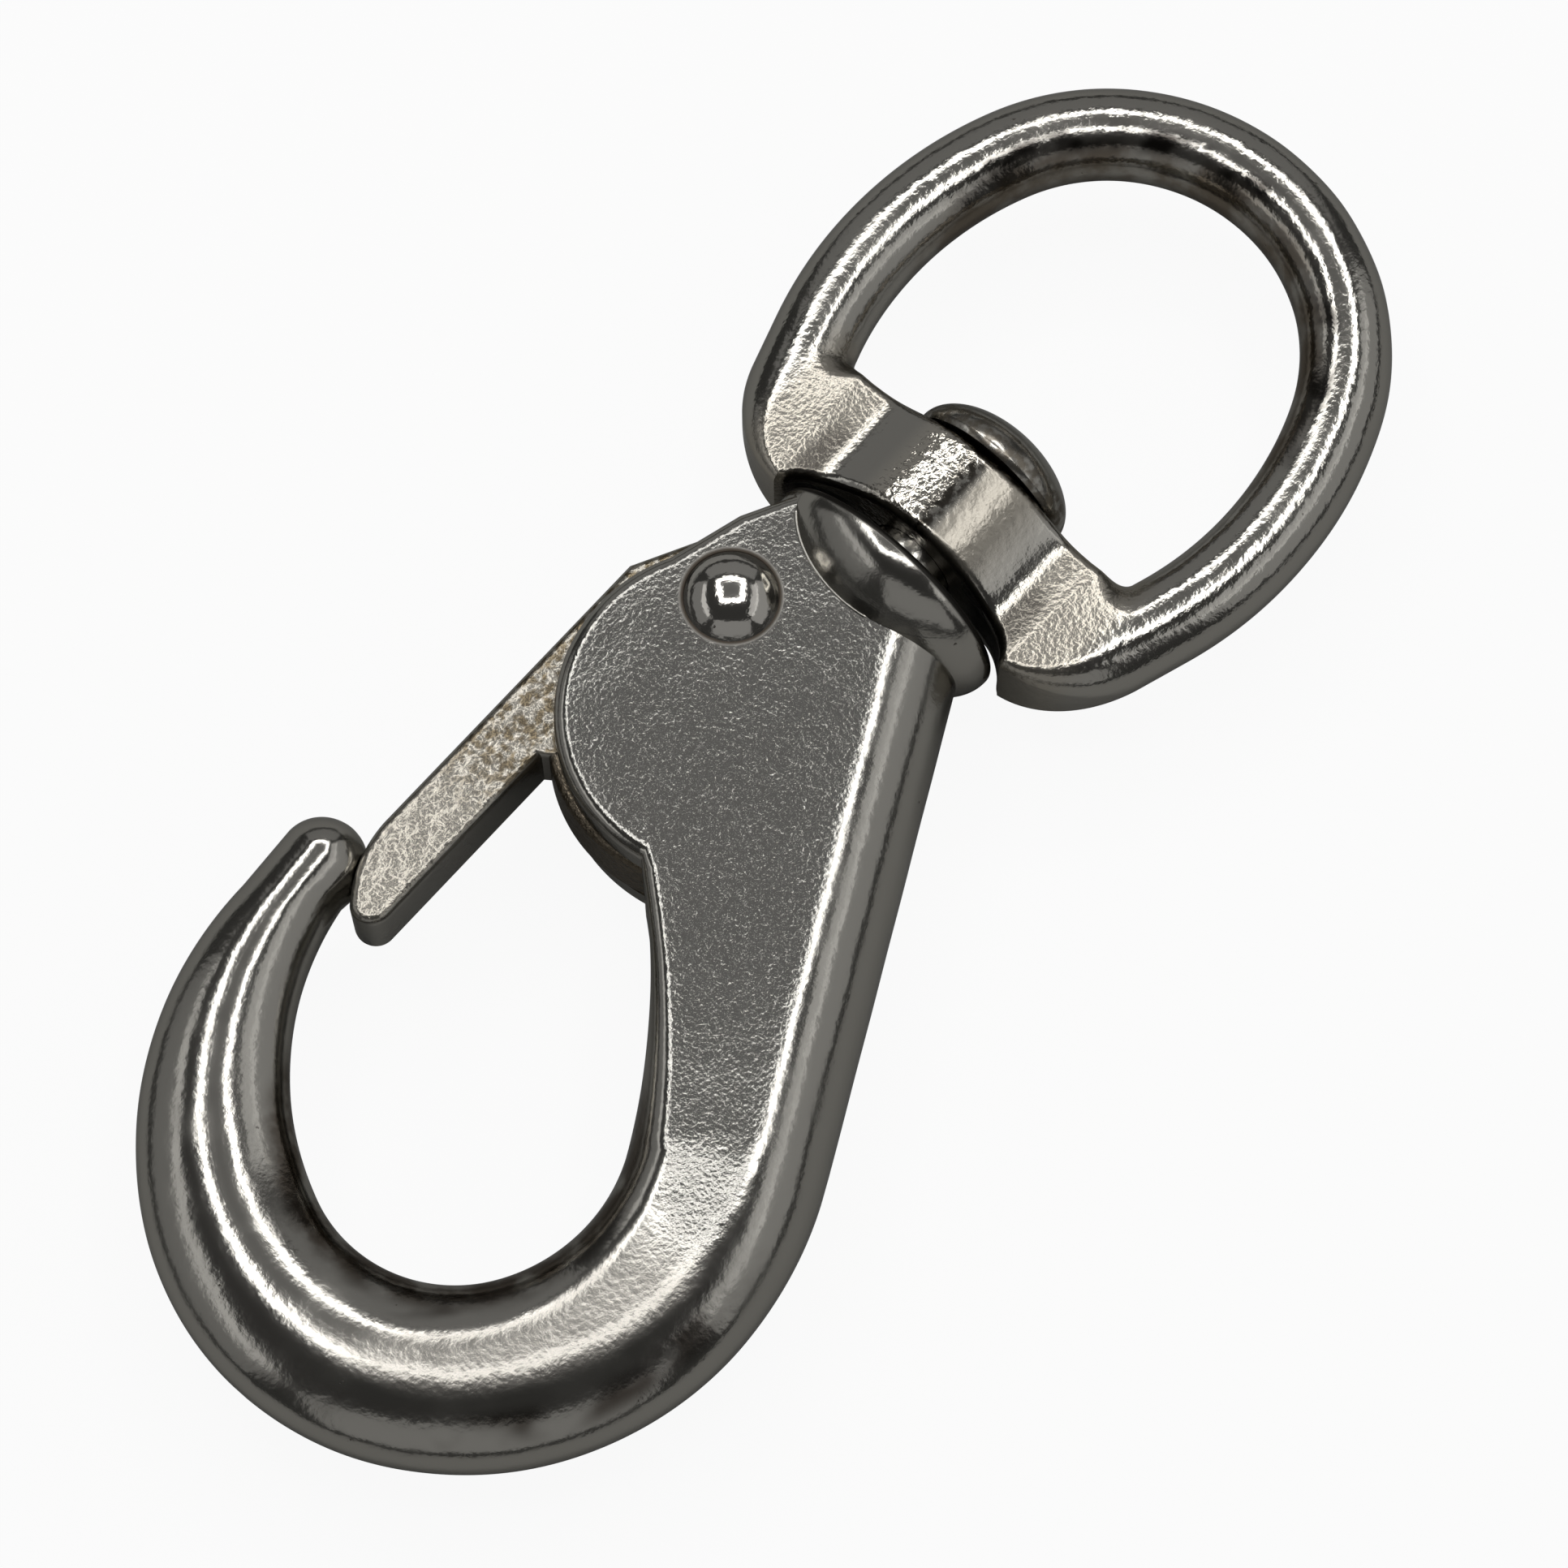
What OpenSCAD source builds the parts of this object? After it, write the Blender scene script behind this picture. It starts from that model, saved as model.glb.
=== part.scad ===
// Swivel snap hook for webbing: a cast hook with a sprung gate, turning on a D-shaped swivel eye.
// +X runs along the swivel axis towards the eye, +Y towards the gate, +Z up through the thickness.
// The origin is the inside of the eye's crown, where the webbing pulls. Sizes are in millimetres
// and angles in degrees; a heading is an angle of travel, turning left as it grows.

/* [Swivel eye] */
// Clear length inside the eye, from the bridge to the crown
eye_len = 25; // [24.6:0.2:36]
// Diameter of the eye's round bar
eye_wire = 6.05; // [5:0.05:6.8]
// Radius inside the crown of the eye
eye_crown_r = 12.4; // [11:0.1:14]
// Radius inside each flank of the eye
eye_flank_r = 23; // [18:0.2:30]
// Radius inside the corners where the flanks meet the bridge
eye_corner_r = 1.8; // [1:0.1:2.2]
// Radius outside the two feet beside the collar
foot_r = 8.6; // [7.6:0.1:9]
// Thickness of the bridge along the swivel axis
bridge_t = 7; // [5:0.2:9]
// Half height of the boss that the pin runs through
boss_h = 5.4; // [4.6:0.1:5.8]
// Half height of the waists beside the boss
waist_h = 3.2; // [2.6:0.1:3.6]
// Half height of the feet
foot_h = 3.3; // [3:0.1:4]

/* [Swivel pin] */
// Radius of the pin where the eye turns on it
pin_r = 3; // [2.5:0.1:3.4]
// Radius of the pin's tail in the collar
tail_r = 2.2; // [1.6:0.1:2.3]
// Radius of the domed head inside the eye
head_r = 5.95; // [5:0.05:6.5]
// Height of the domed head
head_h = 3.6; // [2:0.1:4]
// Radial clearance of the pin in the eye
pin_gap = 0.08; // [0.03:0.01:0.1]
// Gap between the collar and the bridge of the eye
swivel_gap = 2.4; // [1:0.1:3]

/* [Hook body] */
// Radius of the collar
collar_r = 8.9; // [8.2:0.1:9.2]
// Distance from the centre of the cheeks to the face of the collar
collar_reach = 14.7; // [14.4:0.1:16]
// Width of the collar's straight rim
collar_rim = 1.3; // [0.8:0.1:1.8]
// Half thickness of the casting at the cheeks
body_h = 5.5; // [5:0.1:6.2]
// Radius of the cheeks
cheek_r = 11.25; // [11:0.05:11.6]
// Edge rounding of the cheeks
cheek_edge = 1; // [0.5:0.1:1.5]
// Half thickness of the bow opposite the eye
bow_h = 4.15; // [3.6:0.05:4.8]
// Half thickness of the nose
nose_h = 3.4; // [3:0.1:3.8]
// Radius of the rounded end of the nose
nose_r = 2.95; // [2.7:0.05:3.1]
// Slope of the straight spine under the cheeks
spine_slope = 27.5; // [26.5:0.1:28.5]

/* [Gate] */
// Half thickness of the gate
gate_h = 2.8; // [2.2:0.1:3.2]
// Clearance between each side of the gate and the slot
gate_gap = 0.15; // [0.1:0.05:0.4]
// Height of the gate's outer edge above the swivel axis
gate_top = 12.8; // [12.6:0.05:13]
// Height of the gate's inner edge above the swivel axis
gate_under = 8.25; // [7.6:0.05:8.8]
// Radius of the gate's round hub
hub_r = 5.35; // [5.1:0.05:5.5]
// Width of the bevel round both faces of the gate
gate_bevel = 0.7; // [0.3:0.05:0.9]
// Farthest that the gate opens, in degrees
gate_open = 32; // [20:1:32]

/* [Rivet and spring] */
// Distance of the rivet from the centre of the cheeks towards the eye
rivet_x = 5.75; // [5.5:0.05:6]
// Height of the rivet above the swivel axis
rivet_y = 5.7; // [5.5:0.05:5.9]
// Radius of the rivet's shank
rivet_r = 1.7; // [1.2:0.05:1.8]
// Radius of the rivet's domed heads
rivet_head_r = 3.1; // [2.5:0.1:3.6]
// Height of the rivet's domed heads
rivet_head_h = 1.6; // [0.8:0.1:2]
// Radial clearance of the gate on the rivet
rivet_gap = 0.08; // [0.03:0.01:0.1]
// Radius of the spring's wire
spring_wire = 0.3; // [0.2:0.05:0.35]
// Turns of the spring round the rivet
spring_turns = 4; // [3:1:5]

/* [Hidden] */
round_steps = 5;                 // facets in a quarter of a bar's rounded edge
land = 0.12;                     // narrow upright band left at the parting line of a casting
curve_fn = 64;                   // facets shown round the turned parts
fit = 0.1;                       // end clearance where a turning face meets a fixed one

// Places along the swivel axis, counted from the origin
bridge_in = -eye_len;
bridge_out = bridge_in - bridge_t;
collar_face = bridge_out - swivel_gap;
cheek_x = collar_face - collar_reach;

// ---- plane geometry ----
function lerp(a, b, t) = a + (b - a)*t;
function dir(h) = [cos(h), sin(h)];
function left(h) = [-sin(h), cos(h)];
function polar(c, r, a) = c + r*dir(a);

// Point at heading h on a run of arcs that turn right; each leg is [radius, heading at its end],
// and c is the centre of leg j.
function on_legs(legs, c, h, j = 0) =
    (h >= legs[j][1] || j == len(legs) - 1)
        ? c + legs[j][0]*left(h)
        : on_legs(legs, c + (legs[j][0] - legs[j + 1][0])*left(legs[j][1]), h, j + 1);

// ---- bars with rounded edges ----
// One station of a bar: edge a and crease a1 on one side, crease b1 and edge b on the other, half
// thickness h, and the height of the rounding on each side. The edge runs up from the parting
// line, round a quarter ellipse to the crease, flat to the other crease, and the same below.
function station(a, a1, b1, b, h, va, vb) = let (
    up_a = [for (i = [0:round_steps]) let (t = 90*i/round_steps)
        concat(lerp(a, a1, 1 - cos(t)), h - va + va*sin(t))],
    up_b = [for (i = [round_steps:-1:0]) let (t = 90*i/round_steps)
        concat(lerp(b, b1, 1 - cos(t)), h - vb + vb*sin(t))],
    top = concat(up_a, up_b))
    concat(top, [for (i = [len(top) - 1:-1:0]) [top[i].x, top[i].y, -top[i].z]]);

// The skin over a row of stations, closed into a loop or capped at both ends.
module bar(rings, loop = false) {
    n = len(rings[0]);
    m = len(rings);
    sides = [for (i = [0:m - (loop ? 1 : 2)], j = [0:n - 1])
        [i*n + j, ((i + 1)%m)*n + j, ((i + 1)%m)*n + (j + 1)%n, i*n + (j + 1)%n]];
    caps = loop ? [] : [for (j = [0:n/2 - 2], e = [0, (m - 1)*n])
        e == 0 ? [j, j + 1, n - 2 - j, n - 1 - j] : [e + n - 1 - j, e + n - 2 - j, e + j + 1, e + j]];
    polyhedron(points = [for (r = rings) each r], faces = concat(sides, caps), convexity = 8);
}

// ---- hook body, drawn about the centre of its cheeks ----
spine_top = [13.15, -7.4];       // where the spine leaves the collar
spine_len = 35.1;                // straight length of the spine
spine_round = 5.1;               // width of the rounding along the spine
cheek_c = [0, 0.65];             // centre of the round cheeks
neck = [[13.8, 7.4], [10.4, 9.15]]; // gate side of the neck, from the collar to the cheeks
neck_turn = 62;                  // polar angle at which the neck meets the round of the cheeks
notch_turn = 192;                // polar angle at which the cheeks end in the notch
notch = [-11.6, -2.3];           // start of the shank's inner edge
notch_heading = 231.5;

spine_heading = 180 + spine_slope;
spine_end = spine_top + spine_len*dir(spine_heading);

// Outside and inside of the bow, as arcs from the shank round to the nose
outer_legs = [[26.5, 182], [22.5, 122], [20.4, 57], [24.6, 0]];
inner_legs = [[38.9, 205.4], [11.35, 145.4], [9.75, 67.2], [20.3, 9.2]];
function bow_out(h) = on_legs(outer_legs, spine_end - outer_legs[0][0]*left(spine_heading), h);
function bow_in(h) = on_legs(inner_legs, notch - inner_legs[0][0]*left(notch_heading), h);
nose_c = (bow_out(0) + bow_in(10))/2 + [2.9, 0.08];

// Forms along the bow by outer heading: half thickness, outer rounding and flat between creases
function bow_half(h) = lookup(h, [[0, nose_h + 0.05], [20, nose_h + 0.15], [60, bow_h - 0.25],
    [90, bow_h], [119, bow_h + 0.1], [182, bow_h + 0.55], [spine_heading, body_h]]);
function bow_round(h) = lookup(h, [[0, 2.9], [30, 4.1], [60, 4.7], [90, 5], [119, 5.1],
    [182, 5.5], [spine_heading, spine_round]]);
function bow_flat(h) = lookup(h, [[0, 1.1], [30, 1.2], [60, 1.4], [90, 1.7], [119, 2],
    [182, 3.5], [spine_heading, 4.5]]);
// The inner edge runs a little ahead of the outer one near the nose
function inner_heading(h) = h > 60 ? h : lerp(10, 60, h/60);

// Station across the bow at outer heading h
function bow_station(h) = let (
    a = bow_out(h), b = bow_in(inner_heading(h)), w = norm(b - a), u = (b - a)/w,
    half = bow_half(h), ra = min(bow_round(h), 0.62*(w - bow_flat(h))))
    station(a, a + ra*u, a + (ra + bow_flat(h))*u, b, half, half - land, half - land);

// Station across the rounded end of the nose, at angle t round it
function nose_station(t) = let (
    a = polar(nose_c, nose_r, 90 - t), b = polar(nose_c, nose_r, t - 90),
    w = norm(b - a), u = (b - a)/w, half = nose_h*cos(t) + land, flat = 1.1*cos(t))
    station(a, a + (w - flat)/2*u, b - (w - flat)/2*u, b, half, half - land, half - land);

// Station across the body from the spine, s along it, to a point b whose inward side is n
function body_station(s, b, n, rb, vb) = let (a = spine_top + s*dir(spine_heading))
    station(a, a - spine_round*left(spine_heading), b + rb*n, b,
        body_h, body_h - land, min(vb, body_h - land));

cheek_s = [4, 18.5];             // stretch of the spine opposite the cheeks
shank_s = 19.2;                  // where the stretch opposite the shank starts
// Rounding of the shank's inner edge grows from the cheek's to the bow's
function shank_round(t) = lerp(cheek_edge, 2.9, t*t);
function shank_rise(t) = lerp(cheek_edge, body_h - land, t*t);

body_rings = concat(
    [for (i = [0, 1]) body_station(2*i, neck[i], left(-197), cheek_edge, cheek_edge)],
    [for (i = [0:14]) let (a = lerp(neck_turn, notch_turn, i/14))
        body_station(lerp(cheek_s[0], cheek_s[1], i/14), polar(cheek_c, cheek_r, a), -dir(a),
            cheek_edge, cheek_edge)],
    [for (i = [0:8]) let (t = i/9, h = lerp(notch_heading, inner_legs[0][1], t))
        body_station(lerp(shank_s, spine_len, t), bow_in(h), left(h), shank_round(t), shank_rise(t))],
    [for (i = [0:33]) bow_station(lerp(204, 0, i/33))],
    [for (i = [0:6]) nose_station(13*i)]);

// Collar: a turned disc whose back is the crown of an ellipse, cut off at the rim, with eased edges
dome_r = 9.25;                   // half height of the ellipse
dome_len = 6.35;                 // and half length
dome_end = 72;                   // turn from its tip at which the rim cuts it
module collar() {
    ease = 0.4;
    back = collar_reach - collar_rim + dome_len*cos(dome_end);
    translate([collar_reach, 0, 0]) rotate([0, -90, 0]) rotate_extrude($fn = curve_fn)
        polygon(concat(
            [[0, 0]],
            [for (i = [0:4]) let (t = 90*i/4) [collar_r - ease + ease*sin(t), ease - ease*cos(t)]],
            [[collar_r, collar_rim - 0.15]],
            [for (i = [0:12]) let (t = lerp(dome_end, 0, i/12))
                [dome_r*sin(t), collar_reach - back + dome_len*cos(t)]]));
}

// Slot between the cheeks, swept by the gate about its rivet
slot_end = 11.4;                 // where the slot stops short of the collar
slot_reach = 19.6;               // radius of the slot's floor about the rivet
slot_corner = [slot_end, -3.2];  // foot of the slot's end
slot_low = [-2.06, -11.84];      // point on the slot's lower side
slot_top = 40;                   // the slot is open above the cheeks
slot_back = -60;                 // and beyond the shank
rivet_c = [rivet_x, rivet_y];
slot_half = gate_h + gate_gap;
module slot() {
    linear_extrude(height = 2*slot_half, center = true) intersection() {
        translate(rivet_c) circle(r = slot_reach, $fn = 96);
        polygon([[slot_end, slot_top], slot_corner, slot_corner + 3*(slot_low - slot_corner),
            [slot_back, slot_top]]);
    }
}

// Seat in the nose for the curved end of the gate
seat_gap = 0.15;
seat_x = -19;                    // the seat lies beyond this line
module seat() {
    intersection() {
        translate([tip_c.x, tip_c.y, 0])
            cylinder(r = tip_r + seat_gap, h = 4*body_h, center = true, $fn = 96);
        translate([seat_x - 4*tip_r, 0, -3*body_h]) cube([4*tip_r, 3*tip_r, 6*body_h]);
    }
}

module hook_body() {
    color("dimgray") translate([cheek_x, 0, 0]) difference() {
        union() {
            bar(body_rings);
            collar();
        }
        slot();
        seat();
        translate([rivet_x, rivet_y, 0]) {
            cylinder(r = rivet_r, h = 4*body_h, center = true, $fn = 48);
            // Blind hole for the tang of the spring
            translate(spring_r*dir(coil_end - 14))
                cylinder(r = spring_wire + wire_gap, h = tang_top, $fn = 24);
        }
        translate([slot_end - 1, 0, 0]) rotate([0, 90, 0])
            cylinder(r = tail_r, h = collar_reach - slot_end + 2, $fn = 48);
    }
}

// ---- gate, drawn about the centre of the cheeks ----
tip_r = 9;                       // radius of the curve down to the gate's tip
tip_slope = 2;                   // its slope where it meets the outer edge
tip_round = 1.4;                 // radius of the rounded tip
tip_end = [-19.5, gate_top];
tip_c = tip_end - tip_r*left(tip_slope);
tip_low = acos((gate_under + tip_round - tip_c.y)/(tip_r - tip_round)); // the slope at the tip
tip_round_c = tip_c + (tip_r - tip_round)*left(tip_low);
tip_middle = 180 + tip_low/2;    // polar angle of the middle of the rounded tip
under_corner = [-9.6, gate_under]; // where the tongue's inner edge meets the sector
sector_turn = [142, 195];        // polar angles of the sector's ends
sector_proud = 0.55;             // how far the sector stands out of the cheeks at the tongue
top_slope = 27;                  // slope of the outer edge down to the hub
hub_c = rivet_c + [-0.3, 0.25];  // the hub lies a little off its rivet
slope_foot = hub_c + hub_r*dir(90 - top_slope);
slope_start = [slope_foot.x - (gate_top - slope_foot.y)/tan(top_slope), gate_top];
function sector_pt(a) = let (t = (a - sector_turn[0])/(sector_turn[1] - sector_turn[0]))
    polar(cheek_c, cheek_r + sector_proud*(1 - t*t), a);
sector_foot = sector_pt(sector_turn[1]);
foot_span = norm(hub_c - sector_foot);
// Heading of the gate's lower side, from the foot of the sector to its touch with the hub
lower_heading = atan2(hub_c.y - sector_foot.y, hub_c.x - sector_foot.x) - asin(hub_r/foot_span);
lower_touch = hub_c - hub_r*left(lower_heading);

// Station across the rounded tip, at angle t to either side of its middle
function tip_station(t) = let (
    a = polar(tip_round_c, tip_round, tip_middle - t),
    b = polar(tip_round_c, tip_round, tip_middle + t),
    u = (b - a)/norm(b - a), e = min(gate_bevel, 0.4*norm(b - a)),
    s = min(1, tip_round*(1 - cos(t))/gate_bevel), rise = gate_bevel*sqrt(s*(2 - s)))
    station(a, a + e*u, b - e*u, b, gate_h - gate_bevel + rise, rise, rise);

// Both edges of the gate, paired from the tip to the far side of the hub, each with its inward side
gate_pairs = concat(
    [for (i = [0:5]) let (h = lerp(tip_low, tip_slope, i/5), x = lerp(tip_round_c.x, -19.4, i/5))
        [tip_c + tip_r*left(h), -left(h), [x, gate_under], [0, 1]]],
    [for (x = [-17, -13.5, under_corner.x]) [[x, gate_top], [0, -1], [x, gate_under], [0, 1]]],
    [for (i = [0:8]) let (a = lerp(sector_turn[0], sector_turn[1], i/8))
        [[lerp(-8.4, slope_start.x, i/8), gate_top], [0, -1], sector_pt(a), -dir(a)]],
    [for (i = [0:10]) let (a = lerp(90 - top_slope, lower_heading - 80, i/10))
        [polar(hub_c, hub_r, a), -dir(a), lerp(sector_foot, lower_touch, 0.08 + 0.09*i),
            left(lower_heading)]]);

gate_last = len(gate_pairs) - 1;
gate_rings = concat(
    [for (t = [16, 34, 52]) tip_station(t)],
    [for (i = [0:gate_last]) let (p = gate_pairs[i], w = norm(p[2] - p[0]), u = (p[2] - p[0])/w,
        e = min(gate_bevel, 0.42*w), in_a = i < gate_last ? p[1] : u, in_b = i < gate_last ? p[3] : -u)
        station(p[0], p[0] + e*in_a, p[2] + e*in_b, p[2], gate_h, gate_bevel, gate_bevel)]);

// Places of the spring in the hub: its pocket, coil and the tang that holds it to the cheek
spring_r = rivet_r + 0.55 + spring_wire;    // mean radius of the coil
pocket_r = spring_r + spring_wire + 0.35;   // radius of the pocket
pocket_floor = -1.5;                        // height of the pocket's floor
coil_low = pocket_floor + spring_wire + 0.1;
coil_pitch = 2*spring_wire + 0.12;
coil_steps = 14;                            // points in a turn of the coil
coil_end = 90 - 360*(spring_turns + 0.6);   // angle at which the coil turns up into its tang
coil_top = coil_low + spring_turns*coil_pitch;
tang_top = slot_half + 1.3;                 // the tang ends in a blind hole in the cheek
leg_len = 4.6;                              // length of the leg that bears on the gate
wire_gap = 0.1;                             // clearance round the wire in its hole and channel

module gate() {
    color("tan") translate([cheek_x, 0, 0]) difference() {
        bar(gate_rings);
        translate([rivet_x, rivet_y, 0]) {
            cylinder(r = rivet_r + rivet_gap, h = 4*gate_h, center = true, $fn = 48);
            translate([0, 0, pocket_floor]) {
                cylinder(r = pocket_r, h = 2*gate_h, $fn = 48);
                translate([-leg_len - wire_gap, spring_r - spring_wire - wire_gap, 0])
                    cube([leg_len, 2*spring_wire + 2*wire_gap, 2*gate_h]);
            }
        }
    }
}

// ---- rivet and spring ----
module gate_rivet() {
    ball = (rivet_head_r*rivet_head_r + rivet_head_h*rivet_head_h)/(2*rivet_head_h);
    span = asin(rivet_head_r/ball);
    color("silver") translate([cheek_x + rivet_x, rivet_y, 0]) rotate_extrude($fn = curve_fn)
        polygon(concat(
            [[0, -body_h - rivet_head_h]],
            [for (i = [1:8]) let (t = span*i/8)
                [ball*sin(t), -body_h - rivet_head_h + ball - ball*cos(t)]],
            [[rivet_r, -body_h], [rivet_r, body_h]],
            [for (i = [8:-1:1]) let (t = span*i/8)
                [ball*sin(t), body_h + rivet_head_h - ball + ball*cos(t)]],
            [[0, body_h + rivet_head_h]]));
}

// Centre line of the spring's wire, each point with the unit vector away from the rivet: a straight
// leg in the gate's channel, the coil, a bend, and the tang up into the cheek
function coil_pt(a, z) = [concat(spring_r*dir(a), z), concat(dir(a), 0)];
spring_path = concat(
    [for (t = [1, 0.5, 0.12]) [[-leg_len*t, spring_r, coil_low], [0, 1, 0]]],
    [let (n = ceil((90 - coil_end)*coil_steps/360)) for (i = [0:n]) let (t = (90 - coil_end)*i/n)
        coil_pt(90 - t, min(coil_low + t/360*coil_pitch, coil_top))],
    [for (i = [1:3]) coil_pt(coil_end - 14*sin(30*i), coil_top + 0.6*(1 - cos(30*i)))],
    [coil_pt(coil_end - 14, tang_top - wire_gap)]);

// Ring of points round the wire at p, across the direction d, starting away from the rivet
function wire_ring(p, away, d) = let (v = cross(away, d)/norm(cross(away, d)))
    [for (i = [0:7]) p + spring_wire*(cos(45*i)*away + sin(45*i)*v)];

module gate_spring() {
    m = len(spring_path);
    rings = [for (i = [0:m - 1]) wire_ring(spring_path[i][0], spring_path[i][1],
        spring_path[min(i + 1, m - 1)][0] - spring_path[max(i - 1, 0)][0])];
    sides = [for (i = [0:m - 2], j = [0:7])
        [i*8 + j, i*8 + (j + 1)%8, (i + 1)*8 + (j + 1)%8, (i + 1)*8 + j]];
    ends = [[for (j = [7:-1:0]) j], [for (j = [0:7]) (m - 1)*8 + j]];
    color("gray") translate([cheek_x + rivet_x, rivet_y, 0])
        polyhedron(points = [for (r = rings) each r], faces = concat(sides, ends), convexity = 6);
}

// ---- swivel eye ----
crown_turn = 66.9;               // each half of the crown turns this far
flank_turn = 41;                 // and each flank this far again
flank_heading = 90 + crown_turn + flank_turn;
eye_edge = 0.8;                  // edge rounding of the bridge
arch = 1;                        // hollow of the bridge's outer face at the edge of the collar
arch_in = 0.45;                  // swell of its inner face between the corners
foot_drop = 2.9;                 // the feet reach this far past the bridge, round the collar
foot_wall = collar_r + 0.55;     // the feet clear the collar all round
waist_y = 8;                     // distance of the waists from the axis
waist_run = 2.2;                 // run from a waist up to the foot

// One side of the eye's bar, q away from its inner edge: crown, flank, a straight and a corner of
// radius r that ends at end_x. Each returns a point for t from 0 to 1.
function crown_pt(q, t) = polar([-eye_crown_r, 0], eye_crown_r + q, crown_turn*t);
flank_c = polar([-eye_crown_r, 0], eye_crown_r - eye_flank_r, crown_turn);
function flank_pt(q, t) = polar(flank_c, eye_flank_r + q, crown_turn + flank_turn*t);
function corner_c(q, r, end_x) = let (
    p = flank_pt(q, 1), run = (p.x + r*left(flank_heading).x - r - end_x)/-dir(flank_heading).x)
    p + run*dir(flank_heading) + r*left(flank_heading);
function corner_pt(q, r, end_x, t, end = 180) =
    polar(corner_c(q, r, end_x), r, lerp(flank_heading - 90, end, t));

// Half height of the bridge at distance y from the axis: boss, waist, then rising to the feet
function bridge_h(y) = y < waist_y
    ? lerp(waist_h, boss_h, (1 + cos(180*pow(y/waist_y, 1.4)))/2)
    : lerp(waist_h, foot_h, min(1, (y - waist_y)/waist_run));
// Outer face of the bridge: arched over the collar, then down the inner wall of the foot
function bridge_face(y) = bridge_out - arch*y*y/(collar_r*collar_r);
// Inner face: swelling from the corners to the seat of the pin's head
corner_x = bridge_in - arch_in;
function bridge_back(y) = bridge_in - arch_in*min(1, y*y/(collar_r*collar_r));
bridge_ys = [9, 8.2, 7.4, 6.6, 5.8, 5, 4.2, 3.2, 2.2, 1.1];
foot_x = bridge_out - foot_drop;
foot_path = [[foot_x + 0.3, foot_wall + 0.1], [foot_x + 0.8, foot_wall],
    [bridge_face(collar_r) - 0.1, foot_wall - 0.05]];
// The foot's round ends where it comes to the wall round the collar
foot_end = 180 - asin(max(0, foot_wall + 0.25 - corner_c(eye_wire, foot_r, foot_x).y)/foot_r);

// Station of the eye between outer point a and inner point b; k goes from 0 on the round bar to 1
// on the bridge, whose edges are only eased
function eye_station(a, b, h, k) = let (
    w = norm(b - a), u = (b - a)/w, r = lerp((w - 0.2)/2, eye_edge, k), v = lerp(h - land, eye_edge, k))
    station(a, a + r*u, b - r*u, b, h, v, v);

bar_h = eye_wire/2;
eye_half = concat(
    [for (i = [1:9]) eye_station(crown_pt(eye_wire, i/9), crown_pt(0, i/9), bar_h, 0)],
    [for (i = [1:6]) eye_station(flank_pt(eye_wire, i/6), flank_pt(0, i/6), bar_h, 0)],
    [for (i = [0:7]) let (t = i/7)
        eye_station(corner_pt(eye_wire, foot_r, foot_x, t, foot_end), corner_pt(0, eye_corner_r, corner_x, t),
            lerp(bar_h, foot_h, t), t)],
    [for (i = [0:2]) eye_station(foot_path[i],
        [corner_x, corner_c(0, eye_corner_r, corner_x).y - 0.15*(i + 1)], bridge_h(foot_path[i].y), 1)],
    [for (y = bridge_ys) eye_station([bridge_face(y), y], [bridge_back(y), y], bridge_h(y), 1)]);
crown = eye_station(crown_pt(eye_wire, 0), crown_pt(0, 0), bar_h, 0);
bridge_mid = eye_station([bridge_out, 0], [bridge_in, 0], boss_h, 1);
function flip_y(ring) = [for (p = ring) [p.x, -p.y, p.z]];

module swivel_eye() {
    color("darkgray") difference() {
        bar(concat([crown], [for (r = eye_half) flip_y(r)], [bridge_mid],
            [for (i = [len(eye_half) - 1:-1:0]) eye_half[i]]), loop = true);
        translate([bridge_out - 2, 0, 0]) rotate([0, 90, 0])
            cylinder(r = pin_r + pin_gap, h = bridge_t + 4, $fn = 48);
    }
}

// ---- swivel pin ----
peen_r = 2.6;                    // radius of the tail's closed head
peen_h = 1.1;                    // and its height, in the slot
module swivel_pin() {
    rim = 0.35;
    top = bridge_in + fit + head_h;
    color("gray") rotate([0, 90, 0]) rotate_extrude($fn = curve_fn)
        polygon(concat(
            [[0, cheek_x + slot_end - peen_h], [peen_r - 0.5, cheek_x + slot_end - peen_h],
             [peen_r, cheek_x + slot_end - 0.4], [peen_r, cheek_x + slot_end],
             [tail_r, cheek_x + slot_end], [tail_r, collar_face], [pin_r, collar_face],
             [pin_r, bridge_in + fit], [head_r - 0.2, bridge_in + fit]],
            [for (i = [0:11]) let (t = 90*i/12)
                [head_r*cos(t), bridge_in + fit + rim + (head_h - rim)*sin(t)]],
            [[0, top]]));
}

hook_body();
gate();
gate_rivet();
gate_spring();
swivel_eye();
swivel_pin();
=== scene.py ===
"""Swivel snap hook in cast nickel-plated metal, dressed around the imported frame.

Row frame: +X along the swivel axis towards the eye, +Y to the gate side, +Z through the thickness,
origin inside the eye's crown. Lengths are worked out in millimetres and put in place in metres.
"""
from math import cos, radians, sin, tan

import bmesh
import bpy
import numpy as np
from mathutils import Matrix, Vector


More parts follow.
